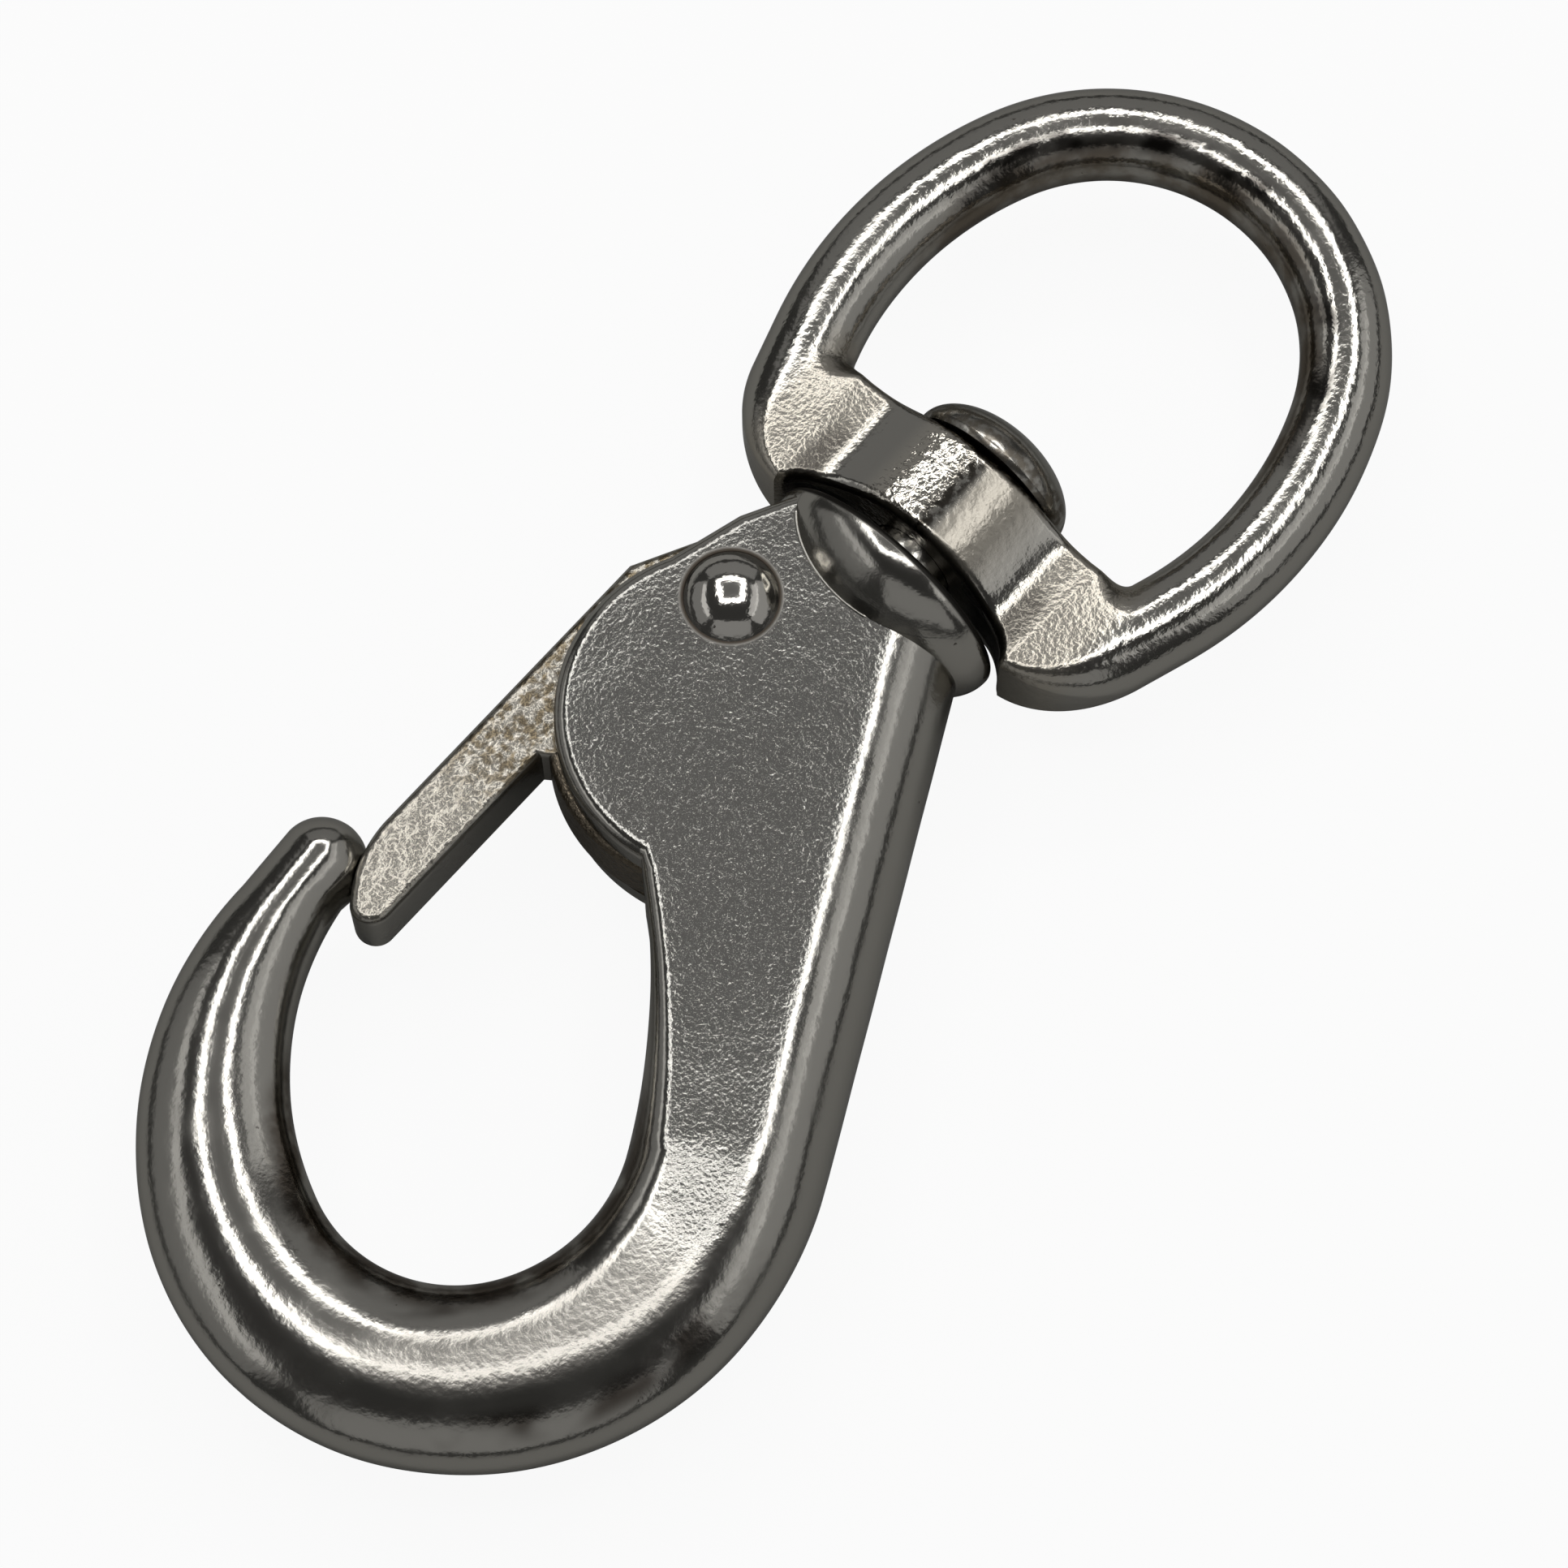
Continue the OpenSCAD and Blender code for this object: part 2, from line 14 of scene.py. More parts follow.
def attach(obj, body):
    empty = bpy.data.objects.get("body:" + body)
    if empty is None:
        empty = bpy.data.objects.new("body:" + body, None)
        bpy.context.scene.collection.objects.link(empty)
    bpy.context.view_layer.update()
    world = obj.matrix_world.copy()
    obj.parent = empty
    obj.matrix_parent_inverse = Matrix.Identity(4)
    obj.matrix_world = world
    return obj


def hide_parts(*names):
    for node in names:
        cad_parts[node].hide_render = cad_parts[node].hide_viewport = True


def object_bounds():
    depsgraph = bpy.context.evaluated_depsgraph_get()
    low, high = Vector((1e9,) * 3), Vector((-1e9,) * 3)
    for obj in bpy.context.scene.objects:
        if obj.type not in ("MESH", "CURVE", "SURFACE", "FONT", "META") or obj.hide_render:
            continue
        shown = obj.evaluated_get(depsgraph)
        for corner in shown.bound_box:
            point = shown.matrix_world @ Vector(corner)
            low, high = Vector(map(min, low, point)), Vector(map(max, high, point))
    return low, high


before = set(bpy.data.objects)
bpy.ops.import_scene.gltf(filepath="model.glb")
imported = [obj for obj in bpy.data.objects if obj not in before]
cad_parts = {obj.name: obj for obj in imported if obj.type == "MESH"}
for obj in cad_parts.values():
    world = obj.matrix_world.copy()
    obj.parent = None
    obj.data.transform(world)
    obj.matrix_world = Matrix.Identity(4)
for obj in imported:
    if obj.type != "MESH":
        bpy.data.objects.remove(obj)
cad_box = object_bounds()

MM = 0.001


# ---- plane geometry ----
def heading(h):
    """Unit vector travelling at h degrees, counted left from +X."""
    a = np.radians(np.asarray(h, float))
    return np.stack([np.cos(a), np.sin(a)], -1)


def leftward(h):
    """Unit vector a quarter turn left of heading h."""
    a = np.radians(np.asarray(h, float))
    return np.stack([-np.sin(a), np.cos(a)], -1)


def polar(centre, radius, turn):
    """Point at a polar angle about a centre."""
    return np.asarray(centre, float) + np.asarray(radius, float)[..., None] * heading(turn)


def blend(a, b, t):
    """Straight mix from a to b."""
    a, b, t = np.asarray(a, float), np.asarray(b, float), np.asarray(t, float)
    if a.shape == (2,) and t.ndim == 1:
        t = t[:, None]
    return a + (b - a) * t


def arc_run(legs, centre):
    """Function of heading: the point on a run of arcs that turn right, each leg a radius and the
    heading at its end, each centre on the line through the last one and the join."""
    radii = np.array([r for r, _ in legs], float)
    ends = np.array([e for _, e in legs], float)
    centres = [np.asarray(centre, float)]
    for j in range(1, len(legs)):
        centres.append(centres[-1] + (radii[j - 1] - radii[j]) * leftward(ends[j - 1]))
    centres = np.array(centres)

    def point(h):
        h = np.asarray(h, float)
        leg = np.minimum((h[..., None] < ends).sum(-1), len(ends) - 1)
        return centres[leg] + radii[leg][..., None] * leftward(h)
    return point


def smooth_table(xs, ys):
    """Function through the points of a table, each span a cubic whose slopes at both ends are the
    mean of the neighbouring chords."""
    xs, ys = np.array(xs, float), np.array(ys, float)
    chords = np.diff(ys) / np.diff(xs)
    slopes = np.concatenate([[chords[0]], (chords[1:] + chords[:-1]) / 2, [chords[-1]]])

    def value(x):
        x = np.clip(np.asarray(x, float), xs[0], xs[-1])
        i = np.clip(np.searchsorted(xs, x) - 1, 0, len(xs) - 2)
        w = xs[i + 1] - xs[i]
        t = (x - xs[i]) / w
        return (ys[i] * (1 + 2 * t) * (1 - t) ** 2 + w * slopes[i] * t * (1 - t) ** 2
                + ys[i + 1] * t * t * (3 - 2 * t) + w * slopes[i + 1] * t * t * (t - 1))
    return value


def smooth_step(low, high, x):
    """0 below low, 1 above high, and an S curve between them."""
    t = np.clip((np.asarray(x, float) - low) / (high - low), 0, 1)
    return t * t * (3 - 2 * t)


# ---- surfaces ----
def stations(a, a1, b1, b, half, rise_a, rise_b, around=12, across=10, peak=0.0):
    """Closed sections of a bar, one a row: from edge a up a quarter ellipse to crease a1, flat to
    crease b1, down a quarter ellipse to edge b, and the mirror image below. The height of the
    ellipse is sin t (1 - peak sin^2 2t), so a peak draws its roundness up to the crease."""
    t = np.radians(np.linspace(0, 90, around + 1))
    wide, tall = 1 - np.cos(t), np.sin(t) * (1 - peak * np.sin(2 * t) ** 2)
    up = a[:, None] + (a1 - a)[:, None] * wide[None, :, None]
    down = (b[:, None] + (b1 - b)[:, None] * wide[None, :, None])[:, ::-1]
    z_up = (half - rise_a)[:, None] + rise_a[:, None] * tall
    z_down = ((half - rise_b)[:, None] + rise_b[:, None] * tall)[:, ::-1]
    f = np.linspace(0, 1, across + 2)[1:-1]
    flat = a1[:, None] + (b1 - a1)[:, None] * f[None, :, None]
    plan = np.concatenate([up, flat, down], 1)
    z = np.concatenate([z_up, np.repeat(half[:, None], across, 1), z_down], 1)
    top = np.concatenate([plan, z[..., None]], -1)
    return np.concatenate([top, top[:, ::-1] * [1, 1, -1]], 1)


def wavy(points, size, length, seed):
    """Each point moved by the sum of six long sine waves in random directions, of the given total
    size and about the given wavelength: the slight unevenness of a casting. Nothing moves out of
    the frame's box."""
    rng = np.random.default_rng(seed)
    moved = points.astype(float).copy()
    for _ in range(6):
        k = rng.normal(size=3)
        k *= 2 * np.pi / (length * rng.uniform(0.6, 1.6) * np.linalg.norm(k))
        push = rng.normal(size=3)
        push *= size / 6 / np.linalg.norm(push)
        moved += push * np.sin(points @ k + rng.uniform(0, 6.3))[..., None]
    low, high = (np.array(corner) / MM for corner in cad_box)
    return np.clip(moved, low + 0.005, high - 0.005)


def put(name, points, faces, crease=38):
    """Mesh object from points in millimetres and faces; the faces are turned if the volume they
    enclose is negative, and edges sharper than the crease angle stay crisp."""
    mesh = bpy.data.meshes.new(name)
    mesh.from_pydata((points * MM).tolist(), [], faces)
    bm = bmesh.new()
    bm.from_mesh(mesh)
    bmesh.ops.remove_doubles(bm, verts=bm.verts, dist=2e-6)
    bmesh.ops.dissolve_degenerate(bm, edges=bm.edges, dist=1e-6)
    if bm.calc_volume(signed=True) < 0:
        bmesh.ops.reverse_faces(bm, faces=bm.faces)
    bm.to_mesh(mesh)
    bm.free()
    thing = bpy.data.objects.new(name, mesh)
    bpy.context.scene.collection.objects.link(thing)
    soften(thing, crease)
    return thing


def soften(thing, crease=38):
    """Smooth shading, with edges sharper than the crease angle kept crisp."""
    thing.data.shade_smooth()
    thing.data.set_sharp_from_angle(angle=radians(crease))


def skin(name, rings, loop=False, crease=38):
    """Skin over a grid of sections: quads between neighbours, and strips across both end sections
    unless the bar is a loop."""
    m, n = rings.shape[:2]
    i, j = np.meshgrid(np.arange(m if loop else m - 1), np.arange(n), indexing="ij")
    k, l = (i + 1) % m, (j + 1) % n
    faces = np.stack([i * n + j, k * n + j, k * n + l, i * n + l], -1).reshape(-1, 4).tolist()
    if not loop:
        s = np.arange(n // 2 - 1)
        near = np.stack([s, s + 1, n - 2 - s, n - 1 - s], -1)
        far = near[:, ::-1] + (m - 1) * n
        faces += near.tolist() + far.tolist()
    return put(name, rings.reshape(-1, 3), faces, crease)


def turned(name, profile, axis, centre=(0, 0, 0), steps=144, crease=38):
    """Surface of revolution: a profile of distances along the axis and radii, carried round it.
    The profile starts and ends on the axis."""
    profile = np.asarray(profile, float)
    turn = np.radians(np.arange(steps) * 360 / steps)
    along = np.repeat(profile[:, :1], steps, 1)
    u, v = profile[:, 1:] * np.cos(turn), profile[:, 1:] * np.sin(turn)
    grid = np.stack([along, u, v] if axis == "X" else [u, v, along], -1) + np.asarray(centre, float)
    m = len(profile)
    i, j = np.meshgrid(np.arange(m - 1), np.arange(steps), indexing="ij")
    l = (j + 1) % steps
    faces = np.stack([i * steps + j, (i + 1) * steps + j, (i + 1) * steps + l, i * steps + l], -1)
    return put(name, grid.reshape(-1, 3), faces.reshape(-1, 4).tolist(), crease)


def prism(name, outline, low, high):
    """Straight wall over a plane outline between two heights, closed at both."""
    outline = np.asarray(outline, float)
    n = len(outline)
    points = np.concatenate([np.c_[outline, np.full(n, low)], np.c_[outline, np.full(n, high)]])
    faces = [[i, (i + 1) % n, n + (i + 1) % n, n + i] for i in range(n)]
    faces += [list(range(n))[::-1], list(range(n, 2 * n))]
    return put(name, points, faces)


def tube(name, path, away, radius, sides=20):
    """Round wire along a path: at each point a circle across the path, started on the vector
    away."""
    along = np.gradient(path, axis=0)
    along /= np.linalg.norm(along, axis=1)[:, None]
    across = np.cross(away, along)
    across /= np.linalg.norm(across, axis=1)[:, None]
    out = np.cross(along, across)
    t = np.radians(np.arange(sides) * 360 / sides)
    rings = path[:, None] + radius * (np.cos(t)[None, :, None] * out[:, None]
                                      + np.sin(t)[None, :, None] * across[:, None])
    return skin(name, rings, crease=60)


def cut(thing, tool, operation="DIFFERENCE"):
    """The solid less the tool, or with it joined on; the tool is used up."""
    step = thing.modifiers.new("cut", "BOOLEAN")
    step.operation, step.solver, step.object = operation, "EXACT", tool
    done = thing.evaluated_get(bpy.context.evaluated_depsgraph_get())
    mesh = bpy.data.meshes.new_from_object(done)
    thing.modifiers.clear()
    thing.data = mesh
    bpy.data.objects.remove(tool)
    soften(thing)
    return thing


# ---- places, as in the frame ----
# An H at the end of a name is half a thickness, an R a radius and a C a centre. The hook body, gate
# and rivet are drawn about the cheeks' centre and moved to CHEEK_X.
BRIDGE_IN, BRIDGE_OUT = -25.0, -32.0
COLLAR_FACE = -34.4
CHEEK_X = -49.1
BODY_H = 5.5
LAND = 0.12  # half height of the upright strip left along an edge
FIT = 0.1  # between the pin's head and the bridge
CLEAR = 0.08  # round a pin in its hole
CHEEK_C = np.array([0, 0.65])
CHEEK_R = 11.25
RIVET = np.array([5.75, 5.7])
RIVET_R = 1.7
COLLAR_R = 8.9
COLLAR_REACH = 14.7
COLLAR_RIM = 1.3
GATE_H = 2.8
SLOT_HALF = 2.95
SLOT_END = 11.4


def cheek_place(rings):
    """Moves what is drawn about the cheeks' centre to its place in the row frame."""
    return rings + [CHEEK_X, 0, 0]


# ---- hook body ----
# The run of the spine, bow and nose: legs of the outer and inner edge, each a radius and the
# heading at its end, and by heading the half thickness, the flat on the crest, and the crest's
# distance from the outer edge.
SPINE_SLOPE = 27.5
SPINE_TOP = np.array([13.15, -7.4])
SPINE_LEN = 35.1
SPINE_ROUND = 5.1
SPINE_HEADING = 180 + SPINE_SLOPE
SPINE_END = SPINE_TOP + SPINE_LEN * heading(SPINE_HEADING)
NOTCH = np.array([-11.6, -2.3])
NOTCH_HEADING = 231.5
NOSE_H, NOSE_R, BOW_H = 3.4, 2.95, 4.15
OUTER_LEGS = [[26.5, 182], [22.5, 122], [20.4, 57], [24.6, 0]]
INNER_LEGS = [[38.9, 205.4], [11.35, 145.4], [9.75, 67.2], [20.3, 9.2]]
bow_out = arc_run(OUTER_LEGS, SPINE_END - OUTER_LEGS[0][0] * leftward(SPINE_HEADING))
bow_in = arc_run(INNER_LEGS, NOTCH - INNER_LEGS[0][0] * leftward(NOTCH_HEADING))
NOSE_C = (bow_out(0) + bow_in(10)) / 2 + [2.9, 0.08]
BOW_C = bow_in(105) - INNER_LEGS[2][0] * leftward(105)
bow_half = smooth_table([0, 20, 60, 90, 119, 182, 197, SPINE_HEADING],
                        [NOSE_H + 0.05, NOSE_H + 0.15, BOW_H - 0.25, BOW_H, BOW_H + 0.1,
                         BOW_H + 0.55, BOW_H + 0.95, BODY_H - 0.1])
bow_flat = smooth_table([0, 90, 119, 150, 182, SPINE_HEADING], [0.3, 0.3, 0.6, 1.4, 3.0, 4.5])
bow_crest = smooth_table([0, 30, 60, 90, 119, 182, SPINE_HEADING],
                         [3.45, 4.7, 5.4, 5.85, 6.1, 7.25, SPINE_ROUND + 2.25])


def body_sections():
    """Sections of the casting from the neck by the cheeks and the shank, round the bow to the nose.
    Each lies between a point on the outer edge and one on the inner edge."""
    rows = []

    def from_spine(s, b, n, rb, vb):
        """Sections from the spine, at distances s down it, to points b whose inward side is n and
        whose edge is rounded over a width rb and a height vb."""
        a = SPINE_TOP + s[:, None] * heading(SPINE_HEADING)
        full = BODY_H - 0.1 * smooth_step(SPINE_LEN - 9, SPINE_LEN + 1, s)
        rows.append(stations(a, a - SPINE_ROUND * leftward(SPINE_HEADING), b + rb[:, None] * n, b,
                             full, full - LAND, np.minimum(vb, full - LAND), around=18, across=4))

    # neck, whose gate side slants down to the cheek
    t = np.linspace(0, 1, 6)
    edge = np.full(6, 1.0)
    from_spine(2 * t, blend([13.8, 7.4], [10.4, 9.15], t),
               np.repeat(leftward(-197)[None], 6, 0), edge, edge)
    # cheeks, round the circle about their centre
    t = np.linspace(0, 1, 70)
    turn = blend(62, 192, t)
    from_spine(blend(4, 18.5, t), polar(CHEEK_C, CHEEK_R, turn), -heading(turn),
               np.full(70, 1.0), np.full(70, 1.0))
    # shank, from the notch to the bow
    t = np.linspace(0, 0.97, 40)
    turn = blend(NOTCH_HEADING, INNER_LEGS[0][1], t)
    from_spine(blend(19.2, SPINE_LEN, t), bow_in(turn), leftward(turn),
               blend(1, 2.9, t * t), blend(1, BODY_H - LAND, t * t))
    # bow, with the edges paired by heading; the inner edge ends at 10 degrees, at the nose
    turn = np.linspace(204.5, 0, 200)
    a = bow_out(turn)
    b = bow_in(np.where(turn > 60, turn, blend(10, 60, turn / 60)))
    w = np.linalg.norm(b - a, axis=1)
    u = (b - a) / w[:, None]
    half, flat = bow_half(turn), bow_flat(turn)
    ra = np.minimum(bow_crest(turn) - flat / 2, 0.64 * (w - flat))
    peak = blend(0.06, 0.02, smooth_step(140, 195, turn))[:, None]
    rows.append(stations(a, a + ra[:, None] * u, a + (ra + flat)[:, None] * u, b,
                         half, half - LAND, half - LAND, around=18, across=4, peak=peak))
    # rounded end of the nose
    t = np.linspace(0, 78, 22)
    a, b = polar(NOSE_C, np.full(22, NOSE_R), 90 - t), polar(NOSE_C, np.full(22, NOSE_R), t - 90)
    w = np.linalg.norm(b - a, axis=1)
    u = (b - a) / w[:, None]
    half, flat = NOSE_H * np.cos(np.radians(t)) + LAND, 0.3 * np.cos(np.radians(t))
    side = ((w - flat) / 2)[:, None] * u
    rows.append(stations(a, a + side, b - side, b, half, half - LAND, half - LAND,
                         around=18, across=4, peak=0.06))
    return np.concatenate(rows)


# The collar's dome: half length and half height of its ellipse, and the angles round it at which
# the lip starts and at which the ellipse would reach the rim.
DOME_LONG, DOME_HIGH = 6.35, 9.25
DOME_LIP, DOME_RIM = 66, 72


def dome_x(t):
    """Distance from the cheeks' centre to the dome at an angle round its ellipse."""
    return COLLAR_REACH - COLLAR_RIM - DOME_LONG * (np.cos(t) - cos(radians(DOME_RIM)))


def collar_profile():
    """Half section of the collar: the dome's ellipse from its tip to the lip, then a parabola onto
    the straight rim and an eased face."""
    ease = 0.4
    t = np.radians(np.linspace(0, DOME_LIP, 56))
    back = np.c_[dome_x(t), DOME_HIGH * np.sin(t)]
    way = (COLLAR_R - back[-1, 1]) / (DOME_HIGH * np.cos(t[-1]))
    turn = back[-1] + way * np.array([DOME_LONG * np.sin(t[-1]), DOME_HIGH * np.cos(t[-1])])
    last = turn + [np.linalg.norm(turn - back[-1]), 0]
    k = np.linspace(0, 1, 16)[1:, None]
    lip = (1 - k) ** 2 * back[-1] + 2 * k * (1 - k) * turn + k * k * last
    e = np.radians(np.linspace(0, 90, 7))
    face = np.c_[COLLAR_REACH - ease + ease * np.sin(e), COLLAR_R - ease + ease * np.cos(e)]
    return np.concatenate([back, lip, face, [[COLLAR_REACH, 0]]])


SLOT_R = 19.6
SLOT_CORNER, SLOT_FOOT = np.array([SLOT_END, -3.2]), np.array([-2.06, -11.84])


def slot_outline():
    """Plan of the slot: an arc about the rivet, cut off by the slot's end and its slanted lower
    side."""
    low, run = SLOT_CORNER, SLOT_FOOT - SLOT_CORNER
    t = np.linspace(0, 1, 400)
    arc = polar(RIVET, np.full(400, SLOT_R), blend(0, 360, t))
    # keep the arc on the gate side of the lower line and short of the slot's end
    side = (arc - low) @ np.array([run[1], -run[0]])
    keep = (side > 0) & (arc[:, 0] < SLOT_END)
    kept = arc[keep]
    start = np.argmax(np.linalg.norm(np.diff(np.r_[kept, kept[:1]], axis=0), axis=1)) + 1
    kept = np.roll(kept, -start, axis=0)
    return np.concatenate([kept, [low]])


def make_body():
    """The casting with its collar, less the slot and the seat for the gate's tip."""
    body = skin("body", wavy(cheek_place(body_sections()), size=0.05, length=9, seed=3))
    cut(body, turned("collar", collar_profile() + [CHEEK_X, 0], "X"), "UNION")
    cut(body, prism("slot", slot_outline() + [CHEEK_X, 0], -SLOT_HALF, SLOT_HALF))
    seat = polar(TIP_C + [CHEEK_X, 0], np.full(60, TIP_R + SEAT_GAP), np.linspace(90, 190, 60))
    cut(body, prism("seat", np.concatenate([seat, [TIP_C + [CHEEK_X, 0]]]), -12, 12))
    return body


def make_bead(side):
    """Thin bead along the line where the collar's dome meets the flat of a cheek, from the lip of
    the dome to the crease of the spine."""
    y = np.linspace(6.8, -2.2, 90)
    x = dome_x(np.arcsin(np.hypot(y, BODY_H) / DOME_HIGH))
    # both ends run down into the casting
    sink = 0.5 * smooth_step(-1.6, -2.2, y) + 0.5 * smooth_step(6.5, 6.8, y)
    path = cheek_place(np.c_[x, y, side * (BODY_H - 0.02 - sink)])
    return tube("bead", path, np.tile([0, 0, 1.0], (90, 1)), 0.12, sides=12)


# ---- gate ----
GATE_TOP, GATE_UNDER, HUB_R, GATE_BEVEL = 12.8, 8.25, 5.35, 0.7
TOP_SLOPE = 27
HUB_C = RIVET + [-0.3, 0.25]
TIP_R, TIP_ROUND, SEAT_GAP = 9, 1.4, 0.15
SECTOR_FROM, SECTOR_TO, SECTOR_PROUD = 142, 195, 0.55
TIP_C = np.array([-19.5, GATE_TOP]) - TIP_R * leftward(2)
TIP_LOW = float(np.degrees(np.arccos((GATE_UNDER + TIP_ROUND - TIP_C[1]) / (TIP_R - TIP_ROUND))))
TIP_ROUND_C = TIP_C + (TIP_R - TIP_ROUND) * leftward(TIP_LOW)


def sector(turn):
    """Edge of the sector: it stands proud of the cheeks by the tongue, and is flush at its foot."""
    run = (turn - SECTOR_FROM) / (SECTOR_TO - SECTOR_FROM)
    return polar(CHEEK_C, CHEEK_R + SECTOR_PROUD * (1 - run ** 2), turn)


def gate_sections():
    """Sections across the gate from its rounded tip, along the tongue and the sector, round the
    hub, with the two edges paired point by point, each with its inward side."""
    rows = []

    def add(a, in_a, b, in_b, drop=0.0, e=None):
        """Sections between two edges, with bevels of width e, lowered by drop on both faces."""
        n = len(a)
        w = np.linalg.norm(b - a, axis=1)
        e = np.minimum(GATE_BEVEL, 0.42 * w) if e is None else e
        rows.append(stations(a, a + e[:, None] * in_a, b + e[:, None] * in_b, b,
                             np.full(n, GATE_H) - drop, GATE_BEVEL - drop * np.ones(n),
                             GATE_BEVEL - drop * np.ones(n), around=7, across=44))

    # rounded tip, whose bevel runs out at its end
    t = np.linspace(14, 66, 14)
    mid = 180 + TIP_LOW / 2
    a = polar(TIP_ROUND_C, np.full(14, TIP_ROUND), mid - t)
    b = polar(TIP_ROUND_C, np.full(14, TIP_ROUND), mid + t)
    w = np.linalg.norm(b - a, axis=1)
    u = (b - a) / w[:, None]
    s = np.minimum(1, TIP_ROUND * (1 - np.cos(np.radians(t))) / GATE_BEVEL)
    add(a, u, b, -u, GATE_BEVEL * (1 - np.sqrt(s * (2 - s))), np.minimum(GATE_BEVEL, 0.4 * w))
    # end of the tongue, along the arc that lies in the seat
    h = np.linspace(TIP_LOW, 2, 34)
    add(TIP_C + TIP_R * leftward(h), -leftward(h),
        np.c_[np.linspace(TIP_ROUND_C[0], -19.4, 34), np.full(34, GATE_UNDER)],
        np.tile([0, 1], (34, 1)))
    # tongue, between two parallel edges
    x = np.linspace(-19.2, -9.6, 72)
    add(np.c_[x, np.full(72, GATE_TOP)], np.tile([0, -1], (72, 1)),
        np.c_[x, np.full(72, GATE_UNDER)], np.tile([0, 1], (72, 1)))
    # sector, below the top edge, which ends at the slope down to the hub
    slope_foot = HUB_C + HUB_R * heading(90 - TOP_SLOPE)
    slope_x = slope_foot[0] - (GATE_TOP - slope_foot[1]) / tan(radians(TOP_SLOPE))
    turn = np.linspace(SECTOR_FROM, SECTOR_TO, 80)
    add(np.c_[np.linspace(-8.4, slope_x, 80), np.full(80, GATE_TOP)], np.tile([0, -1], (80, 1)),
        sector(turn), -heading(turn))
    # hub, and the straight edge from the sector's foot that touches it
    foot = sector(np.array([SECTOR_TO]))[0]
    span = np.linalg.norm(HUB_C - foot)
    low = np.degrees(np.arctan2(HUB_C[1] - foot[1], HUB_C[0] - foot[0]) - np.arcsin(HUB_R / span))
    touch = HUB_C - HUB_R * leftward(low)
    t = np.linspace(0, 1, 50)
    turn = blend(90 - TOP_SLOPE, low - 80, t)
    a, b = polar(HUB_C, np.full(50, HUB_R), turn), blend(foot, touch, 0.08 + 0.9 * t)
    in_a, in_b = -heading(turn), np.tile(leftward(low), (50, 1))
    u = (b[-1] - a[-1]) / np.linalg.norm(b[-1] - a[-1])
    in_a[-1], in_b[-1] = u, -u
    add(a, in_a, b, in_b)
    return np.concatenate(rows)


def hammered(rings, depth, seed):
    """Flat faces pressed in by up to the given depth: the sum of short sine waves in 26 random
    directions, 0.7 to 2.2 long, scaled to 0 to 1 and faded out at the rounded edges."""
    rng = np.random.default_rng(seed)
    field = np.zeros(rings.shape[:2])
    for _ in range(26):
        turn, length = rng.uniform(0, 2 * np.pi), rng.uniform(0.7, 2.2)
        k = 2 * np.pi / length * np.array([np.cos(turn), np.sin(turn)])
        field += np.sin(rings[..., :2] @ k + rng.uniform(0, 6.3)) * length
    field = np.clip(0.5 + field / (4 * field.std()), 0, 1)
    inner = smooth_step(GATE_H - 0.12, GATE_H - 0.01, np.abs(rings[..., 2]))
    out = rings.copy()
    out[..., 2] -= np.sign(rings[..., 2]) * depth * field * inner
    return out


def make_gate():
    """The lever with the hole for its rivet."""
    gate = skin("gate_tongue", cheek_place(hammered(gate_sections(), depth=0.05, seed=11)))
    turn = np.linspace(0, 360, 97)[:-1]
    bore = polar(RIVET + [CHEEK_X, 0], np.full(96, RIVET_R + CLEAR), turn)
    cut(gate, prism("bore", bore, -10, 10))
    return gate


# ---- rivet, spring, pin ----
RIVET_HEAD_R, RIVET_HEAD_H = 3.1, 1.6


def make_rivet():
    """Shank with a dome on each cheek, rather flatter on top than a ball."""
    t = np.linspace(0, 1, 40)
    cap = np.c_[BODY_H + RIVET_HEAD_H * (1 - t**2) * (1 + 0.35 * t**2), RIVET_HEAD_R * t]
    low = BODY_H - 0.02
    half = np.concatenate([cap, [[low, RIVET_HEAD_R - 0.02], [low, RIVET_R]]])
    profile = np.concatenate([half, (half * [-1, 1])[::-1]])
    return turned("rivet", profile, "Z", (CHEEK_X + RIVET[0], RIVET[1], 0))


SPRING_WIRE, SPRING_TURNS = 0.3, 4
SPRING_R = RIVET_R + 0.55 + SPRING_WIRE
POCKET_FLOOR = -1.5
COIL_LOW = POCKET_FLOOR + SPRING_WIRE + 0.1
COIL_PITCH = 2 * SPRING_WIRE + 0.12
COIL_END = 90 - 360 * (SPRING_TURNS + 0.6)
COIL_TOP = COIL_LOW + SPRING_TURNS * COIL_PITCH
TANG_TOP = SLOT_HALF + 1.3


